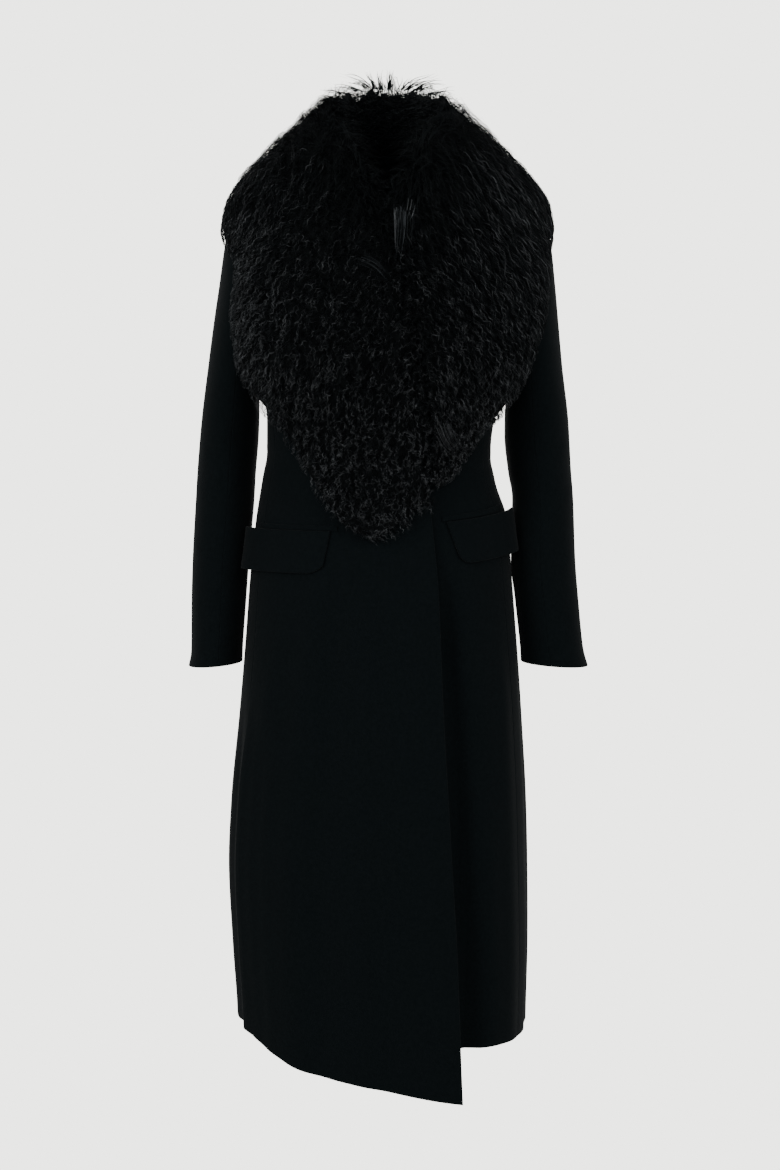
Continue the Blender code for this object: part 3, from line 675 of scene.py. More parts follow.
@dataclass
class SectionForm:
    """Tube given by its level sections."""

    rows: tuple[Section, ...]
    lines: dict[str, Line] = field(init=False)

    def __post_init__(self) -> None:
        """Prepares a line for each size."""
        names = ("right", "left", "front", "back", "square")
        self.lines = {name: table_line(self.rows, "z", name) for name in names}

    def sizes(self, z: Array) -> tuple[Array, Array, Array, Array, Array]:
        """Middle, half width, depths to front and back, and squareness at some heights."""
        right, left = self.lines["right"](z), self.lines["left"](z)
        front, back = self.lines["front"](z), self.lines["back"](z)
        return (left - right) / 2.0, (left + right) / 2.0, front, back, self.lines["square"](z)

    def point(self, angle: Array, z: Array) -> Array:
        """Points of the tube at angles from the centre front."""
        angle, z = np.broadcast_arrays(np.asarray(angle, float), np.asarray(z, float))
        middle, half, front, back, square = self.sizes(z)
        a = np.radians(angle)
        turn = square * np.sin(2.0 * a)
        cosine = np.cos(a - turn)
        depth = np.where(cosine > 0.0, front, back)
        return np.stack([middle + half * np.sin(a + turn), -cosine * depth, z], axis=-1)

    def angle_at(self, x: Array, z: Array) -> Array:
        """Angles at which the front passes some x."""
        middle, half, _front, _back, square = self.sizes(z)
        whole = np.arcsin(np.clip((x - middle) / half, -1.0, 1.0))
        a = whole
        for _step in range(ANGLE_ROUNDS):
            a = whole - square * np.sin(2.0 * a)
        return np.degrees(a)


def outward(surface: Surface, angle: Array, z: Array) -> Array:
    """Unit normals of a surface, away from the body."""
    turn = surface(angle + TURN_STEP, z) - surface(angle - TURN_STEP, z)
    rise = surface(angle, z + RISE_STEP) - surface(angle, z - RISE_STEP)
    return unit(np.cross(turn, rise))


def fold_depth(folds: Sequence[Fold], angle: Array, z: Array) -> Array:
    """How far a panel's upright folds move it out."""
    total = np.zeros(np.broadcast(angle, z).shape)
    for fold in folds:
        down = np.clip((z - fold.top) / (fold.bottom - fold.top), 0.0, 1.0)
        centre = fold.angle_top + (fold.angle_bottom - fold.angle_top) * down
        across = np.clip(np.abs(angle - centre) / fold.half, 0.0, 1.0)
        fade = ease((fold.top - z) / FOLD_FADE)
        total = total + fold.depth * fade * (1.0 + np.cos(np.pi * across)) / 2.0
    return total


def crease_depth(creases: Sequence[Crease], angle: Array, z: Array, radius: float) -> Array:
    """How far a piece's short creases move it out.

    Args:
        creases: The creases.
        angle: Places round the piece, in degrees.
        z: Heights.
        radius: Rough radius of the piece, which makes degrees into metres.

    Returns:
        Distances, negative where a crease goes in.
    """
    total = np.zeros(np.broadcast(angle, z).shape)
    for crease in creases:
        run = np.array([math.radians(crease.angle_b - crease.angle_a) * radius, crease.z_b - crease.z_a])
        length = float(np.linalg.norm(run))
        off_x = np.radians(angle - crease.angle_a) * radius
        off_z = z - crease.z_a
        share = (off_x * run[0] + off_z * run[1]) / length ** 2
        across = (off_x * run[1] - off_z * run[0]) / length
        bow = crease.half * CREASE_BOW * np.sin(np.pi * np.clip(share, 0.0, 1.0))
        ends = ease(share / CREASE_FADE) * ease((1.0 - share) / CREASE_FADE)
        total = total + crease.depth * ends * np.exp(-((across - bow) / crease.half) ** 2 * CREASE_SHARPNESS)
    return total


def pushed(point: Array, angle: Array, distance: Array) -> Array:
    """Moves points away from the body's middle line, in their level."""
    a = np.radians(angle)
    return point + np.stack([np.sin(a), -np.cos(a), np.zeros_like(a)], axis=-1) * distance[..., None]


def linked(name: str, mesh: bpy.types.Mesh) -> bpy.types.Object:
    """Smooth object of a finished mesh, in the scene."""
    mesh.validate()
    mesh.shade_smooth()
    piece = bpy.data.objects.new(name, mesh)
    bpy.context.scene.collection.objects.link(piece)
    return piece


def mesh_piece(name: str, points: Array, faces: Array) -> bpy.types.Object:
    """Smooth mesh object from arrays.

    Args:
        name: The piece's name.
        points: One row of three numbers for each point.
        faces: One row of point numbers for each face.

    Returns:
        The object, in the scene.
    """
    mesh = bpy.data.meshes.new(name)
    count, corners = faces.shape
    mesh.vertices.add(len(points))
    mesh.vertices.foreach_set("co", np.ascontiguousarray(points, np.float32).ravel())
    mesh.loops.add(count * corners)
    mesh.loops.foreach_set("vertex_index", np.ascontiguousarray(faces, np.int32).ravel())
    mesh.polygons.add(count)
    mesh.polygons.foreach_set("loop_start", np.arange(count, dtype=np.int32) * corners)
    mesh.update(calc_edges=True)
    return linked(name, mesh)


def facing_out(points: Array, faces: Array) -> Array:
    """Turns a closed mesh's faces round if they look inward."""
    a, b, c, d = (points[faces[:, i]] for i in (0, 1, 2, 3))
    volume = np.einsum("ij,ij->i", a, np.cross(b, c)) + np.einsum("ij,ij->i", a, np.cross(c, d))
    return faces if volume.sum() > 0.0 else faces[:, ::-1]


def wall_faces(rows: int, columns: int) -> Array:
    """Faces of a closed wall between two grids of points, the outer one first."""
    index = np.arange(rows * columns).reshape(rows, columns)
    shift = rows * columns
    a, b, c, d = index[:-1, :-1], index[1:, :-1], index[1:, 1:], index[:-1, 1:]
    outer = np.stack([a, b, c, d], axis=-1).reshape(-1, 4)
    inner = outer[:, ::-1] + shift
    rim = np.concatenate([index[0, :], index[1:, -1], index[-1, -2::-1], index[-2::-1, 0]])
    after = np.concatenate([rim[1:], rim[:1]])[:-1]
    rim = rim[:-1]
    strip = np.stack([rim, after, after + shift, rim + shift], axis=-1)
    return np.concatenate([outer, inner, strip])


def along_rows(grid: Array, axis: int) -> Array:
    """Distances from the nearer end of each row or column of a grid of points."""
    steps = np.linalg.norm(np.diff(grid, axis=axis), axis=-1)
    start = np.zeros_like(np.take(steps, [0], axis=axis))
    run = np.concatenate([start, np.cumsum(steps, axis=axis)], axis=axis)
    whole = np.take(run, [-1], axis=axis)
    return np.minimum(run, whole - run)


def cloth_wall(name: str, outside: Array, normals: Array, thick: float) -> bpy.types.Object:
    """Closed cloth wall whose four edges are rolled round.

    Args:
        name: The piece's name.
        outside: Grid of points of its outer face.
        normals: Unit normal at each point.
        thick: Thickness of the cloth.

    Returns:
        The piece.
    """
    rim = np.minimum(along_rows(outside, 0), along_rows(outside, 1))
    near = np.clip(rim / min(EDGE_ROUND, thick / 2.0), 0.0, 1.0)
    full = np.sqrt(np.clip(1.0 - (1.0 - near) ** 2, EDGE_LEAST, 1.0))[..., None]
    middle = outside - normals * thick / 2.0
    outer = middle + normals * full * thick / 2.0
    inner = middle - normals * full * thick / 2.0
    rows, columns = outside.shape[:2]
    points = np.concatenate([outer.reshape(-1, 3), inner.reshape(-1, 3)])
    return mesh_piece(name, points, facing_out(points, wall_faces(rows, columns)))


@dataclass
class CoatForm:
    """Surfaces of the coat's body, and the lines that cut it into panels."""

    body: SectionForm = field(default_factory=lambda: SectionForm(BODY))
    bed: SectionForm = field(default_factory=lambda: SectionForm(BED))
    right_edge: Line = field(default_factory=lambda: table_line(EDGES, "z", "right_x"))
    left_edge: Line = field(default_factory=lambda: table_line(EDGES, "z", "left_x"))
    roll: Line = field(default_factory=lambda: table_line(EDGES, "z", "roll"))
    girth_radius: float = 0.17

    def right_front(self, angle: Array, z: Array) -> Array:
        """Outside of the right front, over the left one and with its free edge rolled out."""
        point = self.body.point(angle, z)
        low = ease((LAP_TOP - z) / LAP_FADE)
        lap = LAP_RISE * low * ease((point[..., 0] - LAP_STARTS) / (LAP_FULL - LAP_STARTS))
        roll = self.roll(z) * ease(1.0 - (self.right_edge(z) - point[..., 0]) / EDGE_ROLL)
        folds = fold_depth(FRONT_FOLDS, angle, z) + crease_depth(RIGHT_CREASES, angle, z, self.girth_radius)
        return pushed(point, angle, lap + roll + folds)

    def left_front(self, angle: Array, z: Array) -> Array:
        """Outside of the left front, with the right front's folds where that covers it."""
        point = self.body.point(angle, z)
        folds = fold_depth(FRONT_FOLDS, angle, z) + fold_depth(UNDER_FOLDS, angle, z)
        return pushed(point, angle, folds + crease_depth(LEFT_CREASES, angle, z, self.girth_radius))

    def back(self, angle: Array, z: Array) -> Array:
        """Outside of the back."""
        point = self.body.point(angle, z)
        folds = fold_depth(BACK_FOLDS, angle, z) + crease_depth(BACK_CREASES, angle, z, self.girth_radius)
        return pushed(point, angle, folds)

    def armhole(self, side: Side, turn: Array) -> tuple[Array, Array]:
        """Angles and heights of an armhole: turn 0 is the shoulder tip, positive to the front."""
        t = np.radians(turn)
        z = (SHOULDER_TIP + UNDERARM) / 2.0 + (SHOULDER_TIP - UNDERARM) / 2.0 * np.cos(t)
        line = self.body.lines[side.word]
        top, low = float(line(SHOULDER_TIP)), float(line(UNDERARM))
        reach = top + (low - top) * (1.0 - np.cos(t)) / 2.0 - ARMHOLE_SCOOP * np.sin(t) ** 2
        angle = self.body.angle_at(side.sign * reach, z)
        return np.where(turn < 0.0, side.sign * 180.0 - angle, angle), z

    def side_edge(self, side: Side, facing: int) -> tuple[Array, Array]:
        """Heights and angles of a panel's side edge, from the neck to the hem.

        Args:
            side: The wearer's side.
            facing: 1 for a front and -1 for a back.

        Returns:
            Heights and angles, one for each row.
        """
        sign = side.sign

        def lap(z: Array) -> Array:
            """The seam's lap on this panel as an angle."""
            return -facing * sign * np.degrees(SEAM_LAP / self.body.sizes(z)[1])

        top = NECK_TOP - steps_between(NECK_TOP - SHOULDER_TIP, SHOULDER_ROWS, both=False)[:-1]
        hole_angle, hole_z = self.armhole(side, np.linspace(0.0, 180.0, ARMHOLE_ROWS) * facing)
        hole_angle[[0, -1]] -= lap(hole_z[[0, -1]])
        length = UNDERARM - HEM_SIDE
        skirt = UNDERARM - (length - steps_between(length, SKIRT_ROWS, both=False)[::-1])[1:]
        seam = UNDERARM_SEAM + (SIDE_SEAM - UNDERARM_SEAM) * ease((UNDERARM - skirt) / SIDE_SEAM_BENDS)
        angle = np.concatenate([sign * 90.0 - lap(top), hole_angle, sign * seam - lap(skirt)])
        return np.concatenate([top, hole_z, skirt]), angle

    def hem_height(self, hem: Line, angle: Array, z: Array) -> Array:
        """Stretches the lower rows so that the last one lies on the hem."""
        share = np.clip((HEM_EASE_FROM - z) / (HEM_EASE_FROM - HEM_SIDE), 0.0, None)
        return z + (hem(angle) - HEM_SIDE) * share ** HEM_EASE_POWER


@dataclass(frozen=True)
class Cut:
    """Flat cut of a cloth piece, in metres."""

    width: float
    length: float
    area: float


@dataclass
class Panel:
    """Body panel between its side edge and its other edge."""

    node: str
    form: CoatForm
    surface: Surface
    hem: Line
    side: Side
    facing: int
    other_edge: Callable[[Array], Array]
    cut: Cut
    width: float
    spacing: float
    rests_on: str

    def build(self) -> bpy.types.Object:
        """Builds the panel's wall."""
        z_rows, side_angles = self.form.side_edge(self.side, self.facing)
        shares = steps_between(self.width, self.spacing) / self.width
        other = self.other_edge(z_rows)
        angle = side_angles[:, None] + (other - side_angles)[:, None] * shares[None, :]
        z = self.form.hem_height(self.hem, angle, np.broadcast_to(z_rows[:, None], angle.shape))
        normals = outward(self.surface, angle, z)
        return cloth_wall("wool_" + self.node, self.surface(angle, z), normals, CLOTH)


@dataclass
class SleeveForm:
    """Surface of one sleeve, from the armhole to the cuff."""

    form: CoatForm
    side: Side
    creases: tuple[Crease, ...]
    lines: dict[str, Line] = field(init=False)

    def __post_init__(self) -> None:
        """Prepares a line for each size."""
        names = ("out_z", "in_z", "depth", "behind", "out_" + self.side.word, "in_" + self.side.word)
        self.lines = {name: place_line(SLEEVE, name) for name in names}

    def ring(self, place: Array, turn: Array) -> Array:
        """Points of plain rings: turn goes round from the outer point to the front."""
        lines, sign, word = self.lines, self.side.sign, self.side.word
        t = np.radians(turn)
        out_x, in_x = sign * lines["out_" + word](place), sign * lines["in_" + word](place)
        out_z, in_z = lines["out_z"](place), lines["in_z"](place)
        x = (out_x + in_x) / 2.0 + (out_x - in_x) / 2.0 * np.cos(t)
        y = lines["behind"](place) - lines["depth"](place) * np.sin(t)
        z = (out_z + in_z) / 2.0 + (out_z - in_z) / 2.0 * np.cos(t)
        return np.stack([x, y, z], axis=-1)

    def plain(self, place: Array, turn: Array) -> Array:
        """Outside of the sleeve before its creases, which starts on the armhole."""
        angle, z = self.form.armhole(self.side, (turn + 180.0) % 360.0 - 180.0)
        start = self.form.body.point(angle, z) + np.array([-self.side.sign * ARMHOLE_LAP, 0.0, 0.0])
        fade = np.clip(1.0 - place / CAP_END, 0.0, 1.0) ** 2
        return self.ring(place, turn) + (start - self.ring(np.zeros_like(place), turn)) * fade[..., None]

    def normal(self, surface: Surface, place: Array, turn: Array) -> Array:
        """Unit normals, away from the sleeve's hollow."""
        down = surface(np.minimum(place + SLEEVE_PLACE_STEP, len(SLEEVE) - 1.0), turn)
        down = down - surface(np.maximum(place - SLEEVE_PLACE_STEP, 0.0), turn)
        round_it = surface(place, turn + SLEEVE_TURN_STEP) - surface(place, turn - SLEEVE_TURN_STEP)
        return unit(np.cross(round_it, down)) * self.side.sign

    def creased(self, place: Array, turn: Array) -> Array:
        """Outside of the sleeve with its creases."""
        point = self.plain(place, turn)
        depth = crease_depth(self.creases, turn, point[..., 2], SLEEVE_GIRTH / math.tau)
        depth = depth + crease_depth(self.creases, turn - 360.0, point[..., 2], SLEEVE_GIRTH / math.tau)
        return point + self.normal(self.plain, place, turn) * depth[..., None]

    def build(self, name: str, start: float, end: float) -> bpy.types.Object:
        """Builds one piece of the sleeve.

        Args:
            name: The piece's name.
            start: Turn of its first seam.
            end: Turn of its last seam.

        Returns:
            The piece.
        """
        girth = SLEEVE_GIRTH * (end - start) / 360.0
        shares = steps_between(girth, SLEEVE_SPACING) / girth
        turns = start + SLEEVE_SEAM_TURN + (end - start - 2.0 * SLEEVE_SEAM_TURN) * shares
        samples = np.linspace(0.0, len(SLEEVE) - 1.0, SLEEVE_SAMPLES)
        middle = self.ring(samples, np.full(SLEEVE_SAMPLES, FRONT_OF_SLEEVE))
        run = np.concatenate([[0.0], np.cumsum(np.linalg.norm(np.diff(middle, axis=0), axis=1))])
        places = np.interp(steps_between(run[-1], SLEEVE_SPACING), run, samples)
        place, turn = np.meshgrid(places, turns, indexing="ij")
        outside = self.creased(place, turn)
        return cloth_wall(name, outside, self.normal(self.creased, place, turn), SLEEVE_CLOTH)


@dataclass
class PocketPieces:
    """A flap and the narrow jet above it, laid on their panel."""

    form: CoatForm
    pocket: Pocket
    surface: Surface

    def patch(self, kind: str, angle: Array, z: Array, distance: Array, thick: float) -> bpy.types.Object:
        """Thin piece on the panel, its points moved out from the panel's."""
        turned = self.pocket.side.sign * angle
        normals = outward(self.surface, turned, z)
        outside = self.surface(turned, z) + normals * (distance + thick)[..., None]
        return cloth_wall(f"wool_{kind}_{self.pocket.side.word}", outside, normals, thick)

    def inner_angle(self, x: Array, z: Array) -> Array:
        """Angle of a patch's inner edge, from its distance to the middle."""
        return np.abs(self.form.body.angle_at(self.pocket.side.sign * x, z))

    def flap(self) -> bpy.types.Object:
        """Flap with a rounded lower corner, standing off near the side seam."""
        pocket = self.pocket
        down, across = np.meshgrid(steps_between(FLAP_DEEP, FLAP_SPACING) / FLAP_DEEP,
                                   steps_between(FLAP_WIDE, FLAP_SPACING) / FLAP_WIDE, indexing="ij")
        across = 1.0 - (1.0 - across) ** COLUMN_CROWDING
        top = pocket.top_outer + (pocket.top_inner - pocket.top_outer) * across
        corner = np.clip((across - CORNER_START) / (1.0 - CORNER_START), 0.0, None)
        z = top - (pocket.drop - CORNER_RISE * corner ** 2) * down
        inner = self.inner_angle(pocket.inner_top + (pocket.inner_bottom - pocket.inner_top) * down, z)
        angle = pocket.outer_angle + (inner - pocket.outer_angle) * across
        ripple = FLAP_RIPPLE * ease((down - 0.5) / 0.5) * (1.0 + RIPPLE_UNEVEN * np.sin(angle * RIPPLE_TURN))
        distance = PATCH_GAP + pocket.stand * ease((angle - STAND_FROM) / STAND_SPAN) + ripple
        return self.patch("flap", angle, z, distance, FLAP_CLOTH)

    def jet(self) -> bpy.types.Object:
        """Narrow folded strip above the flap."""
        pocket = self.pocket
        down, across = np.meshgrid(JET_ROWS, steps_between(JET_WIDE, JET_SPACING) / JET_WIDE, indexing="ij")
        z = pocket.top_outer + (pocket.top_inner - pocket.top_outer) * across
        z = z + SEAM_GAP + JET_HEIGHT * (1.0 - down)
        angle = JET_OUTER + (self.inner_angle(np.full_like(z, pocket.jet_inner), z) - JET_OUTER) * across
        return self.patch("jet", angle, z, np.full_like(z, PATCH_GAP), JET_CLOTH)


PILE_SIZES = ("thick", "edge", "stand", "lean")


class Look(NamedTuple):
    """Flow and curl of the pile at one place down a lapel, or round the back."""

    place: float
    flow: float
    spread: float
    length: float
    curl: float
    wave: float


RIGHT_LOOKS = tuple(Look(*row) for row in (
    (0.00, 14, 18, 0.030, 0.0010, 0.014),
    (0.25, 22, 28, 0.026, 0.0013, 0.010),
    (0.50, 36, 38, 0.019, 0.0013, 0.0080),
    (0.75, 50, 42, 0.017, 0.0012, 0.0075),
    (1.00, 66, 30, 0.016, 0.0011, 0.0075),
))
LEFT_LOOKS = tuple(Look(*row) for row in (
    (0.00, 12, 9, 0.040, 0.0006, 0.026),
    (0.25, 20, 13, 0.036, 0.0009, 0.020),
    (0.50, 42, 26, 0.023, 0.0012, 0.0100),
    (0.75, 58, 36, 0.018, 0.0012, 0.0078),
    (1.00, 70, 30, 0.016, 0.0011, 0.0075),
))
BACK_LOOKS = tuple(Look(*row) for row in (
    (0.00, -6, 18, 0.032, 0.0011, 0.015),
    (0.50, 0, 30, 0.028, 0.0014, 0.011),
    (1.00, 6, 16, 0.034, 0.0009, 0.018),
))


@dataclass
class FurPad:
    """Fur pad as a grid of feet on the coat and of lifts from there to the pile's top."""

    name: str
    node: str
    bed: SectionForm
    angles: tuple[Line, Line]
    heights: tuple[Line, Line]
    pile: dict[str, Line]
    looks: tuple[Look, ...]
    far: float
    lapped: bool
    over: float = 0.07
    stations: int = 150
    shares: int = 123
    feet: Array = field(init=False)
    lifts: Array = field(init=False)

    def __post_init__(self) -> None:
        """Samples the pad a little past its ends and edges."""
        place, share = np.meshgrid(np.linspace(-self.over, 1.0 + self.over, self.stations),
                                   np.linspace(SHARE_LOW, SHARE_HIGH, self.shares), indexing="ij")
        reach = np.where(share < 0.5, PILE_REACH_IN, PILE_REACH_OUT)
        across = np.minimum(np.abs(2.0 * share - 1.0) / reach, 1.0)
        arch = (1.0 - across ** FUR_ROUNDNESS) ** (1.0 / FUR_ROUNDNESS)
        self.feet, self.lifts = self.sample(place, share, arch)

    def face_arch(self, share: Array) -> Array:
        """Arch of the pad itself, with a steep inner face and a rounded outer edge."""
        power = np.where(share < 0.5, PAD_FACE_ROUNDNESS, FUR_ROUNDNESS)
        return np.clip(1.0 - np.abs(2.0 * share - 1.0) ** power, 0.0, 1.0) ** (1.0 / power)

    def sample(self, place: Array, share: Array, arch: Array) -> tuple[Array, Array]:
        """Feet and lifts at places along the pad and shares across it.

        Args:
            place: From 0 to 1 along the pad.
            share: From 0 at its inner line to 1 at its outer line.
            arch: How far the pile stands there, from 0 to 1.

        Returns:
            Feet, and the lifts from them to the top.
        """
        at = place * self.far
        angle = self.angles[0].beyond(at)
        angle = angle + (self.angles[1].beyond(at) - angle) * share
        z = self.heights[0].beyond(at)
        z = z + (self.heights[1].beyond(at) - z) * share
        low = np.clip(1.0 - share, 0.0, 1.0)
        thick, edge = self.pile["thick"](at), self.pile["edge"](at)
        height = (edge + (thick - edge) * low ** FUR_TAPER) * arch
        a = np.radians(angle)
        inward = np.stack([-np.sin(a), np.cos(a), np.zeros_like(a)], axis=-1)
        lifts = outward(self.bed.point, angle, z) * height[..., None]
        lifts = lifts + inward * (self.pile["lean"](at) * arch * low ** 4)[..., None]
        lifts[..., 2] += self.pile["stand"](at) * arch * low ** STAND_TAPER
        return self.bed.point(angle, z), lifts

    def read(self, grid: Array, place: Array, share: Array) -> Array:
        """Reads a grid between its points."""
        p = np.clip((place + self.over) / (1.0 + 2.0 * self.over), 0.0, 1.0) * (self.stations - LAST_CELL)
        q = np.clip((share - SHARE_LOW) / (SHARE_HIGH - SHARE_LOW), 0.0, 1.0) * (self.shares - LAST_CELL)
        i, j = p.astype(int), q.astype(int)
        u, v = (p - i)[..., None], (q - j)[..., None]
        low = grid[i, j] * (1.0 - v) + grid[i, j + 1] * v
        high = grid[i + 1, j] * (1.0 - v) + grid[i + 1, j + 1] * v
        return low * (1.0 - u) + high * u

    def at_height(self, place: Array, share: Array, height: float | Array) -> Array:
        """Points in the pile, by their height as a share of the pile's."""
        return self.read(self.feet, place, share) + self.read(self.lifts, place, share) * height

    def slope(self, place: Array, share: Array, along: float, aside: float) -> Array:
        """How the feet move for each unit of place or of share, from a small step of one of them."""
        ahead = self.read(self.feet, place + along, share + aside)
        return (ahead - self.read(self.feet, place - along, share - aside)) / (2.0 * (along + aside))

    def spread(self, count: int, rng: np.random.Generator,
               shares: tuple[float, float]) -> tuple[Array, Array]:
        """Places and shares spread evenly over the pile's top, between two shares."""
        low, high = shares
        last = 1.0 + PAD_LAP if self.lapped else 1.0
        place, share = np.meshgrid(np.linspace(-PAD_LAP, last, SPREAD_ROWS),
                                   np.linspace(low, high, SPREAD_COLUMNS), indexing="ij")
        top = self.at_height(place, share, SPREAD_LEVEL)
        cell = np.linalg.norm(np.cross(top[1:, :-1] - top[:-1, :-1], top[:-1, 1:] - top[:-1, :-1]), axis=-1)
        run = np.cumsum(cell.ravel())
        picks = (np.arange(count) + rng.random(count)) / count * run[-1]
        i, j = np.divmod(np.minimum(np.searchsorted(run, picks), cell.size - 1), cell.shape[1])
        along = -PAD_LAP + (i + rng.random(count)) / (SPREAD_ROWS - 1.0) * (last + PAD_LAP)
        return along, low + (j + rng.random(count)) / (SPREAD_COLUMNS - 1.0) * (high - low)

    def base(self, height: float, rng: np.random.Generator) -> bpy.types.Object:
        """Closed lumpy pad under the locks.

        Args:
            height: Its height as a share of the pile's.
            rng: Source of the lumps.

        Returns:
            The piece, without a finish.
        """
        arc = BASE_ARC
        shares = BASE_FIRST + BASE_SPAN * (1.0 - np.cos(np.pi * np.arange(arc + 1) / arc)) / 2.0
        last = 1.0 + PAD_LAP if self.lapped else PAD_END
        place, share = np.meshgrid(np.linspace(-PAD_LAP, last, BASE_ROWS), shares, indexing="ij")
        feet, lifts = self.sample(place, share, self.face_arch(share))
        lumps = np.zeros(place.shape)
        for _wave in range(LUMP_WAVES):
            along, across = rng.uniform(*LUMP_ALONG), rng.uniform(*LUMP_ACROSS)
            phase = rng.uniform(0, math.tau)
            lumps += np.sin(along * place + rng.choice([-1.0, 1.0]) * across * share + phase) / LUMP_WAVES
        over = feet + lifts * (height * (1.0 + LUMP_HEIGHT * lumps))[..., None]
        loops = np.concatenate([feet, over[:, -2:0:-1]], axis=1)
        around = loops.shape[1]
        index = np.arange(BASE_ROWS * around).reshape(BASE_ROWS, around)
        after = np.roll(index, -1, axis=1)
        sides = np.stack([index[:-1], after[:-1], after[1:], index[1:]], axis=-1).reshape(-1, 4)
        caps: list[list[int]] = []
        corners: list[list[int]] = []
        for ring, order in ((index[0], -1), (index[-1], 1)):
            for i in range(1, arc - 1):
                caps.append([ring[i], ring[i + 1], ring[around - 1 - i], ring[around - i]][::order])
            for three in ((0, 1, around - 1), (arc - 1, arc, arc + 1)):
                corners.append([int(ring[k]) for k in three][::order])
        points = loops.reshape(-1, 3)
        quads = np.concatenate([sides, np.array(caps)])
        turned = facing_out(points, quads)
        order = 1 if turned is quads else -1
        mesh = bpy.data.meshes.new(self.name)
        mesh.from_pydata(points.tolist(), [], turned.tolist() + [three[::order] for three in corners])
        return linked(self.name, mesh)


def ribbons(name: str, points: Array, look_out: Array, width: float,
            rng: np.random.Generator) -> bpy.types.Object:
    """Joined mesh of flat tapering hairs.

    Args:
        name: The piece's name.
        points: Middle lines as (hair, step, 3).
        look_out: Unit vector that each hair's flat side roughly looks along.
        width: Width near the root.
        rng: Source of each hair's twist.

    Returns:
        The piece, without a finish.
    """
    total, steps = points.shape[:2]
    ahead = unit(np.gradient(points, axis=1))
    side = unit(np.cross(ahead, look_out[:, None, :]))
    rise = np.cross(side, ahead)
    t = np.linspace(0.0, 1.0, steps)[None, :]
    twist = rng.normal(0.0, TWIST, (total, 1)) + rng.normal(0.0, TWIST_ALONG, (total, 1)) * t
    flat = side * np.cos(twist)[..., None] + rise * np.sin(twist)[..., None]
    half = width / 2.0 * rng.uniform(*HAIR_WIDTHS, (total, 1)) * (1.0 - TIP_NARROWING * t ** TIP_POWER)
    offset = flat * half[..., None]
    corners = np.stack([points - offset, points + offset], axis=2).reshape(-1, 3)
    start = (np.arange(total)[:, None] * steps + np.arange(steps - 1)[None, :]).ravel() * 2
    return mesh_piece(name, corners, np.stack([start, start + 1, start + 3, start + 2], axis=-1))


def front_ribbons(name: str, lines: list[Array], rise: float, width: float,
                  rng: np.random.Generator) -> bpy.types.Object:
    """Joined mesh of hairs whose flat side looks to the front and a little up."""
    look_out = np.tile(np.array([[0.0, -1.0, rise]]), (len(lines), 1))
    return ribbons(name, np.array(lines), unit(look_out), width, rng)


def number_finishes(piece: bpy.types.Object, finishes: Sequence[int] | Array, faces_each: int) -> None:
    """Gives each hair's faces the number of its finish."""
    numbers = np.repeat(finishes, faces_each).astype(np.int32)
    piece.data.polygons.foreach_set("material_index", numbers)


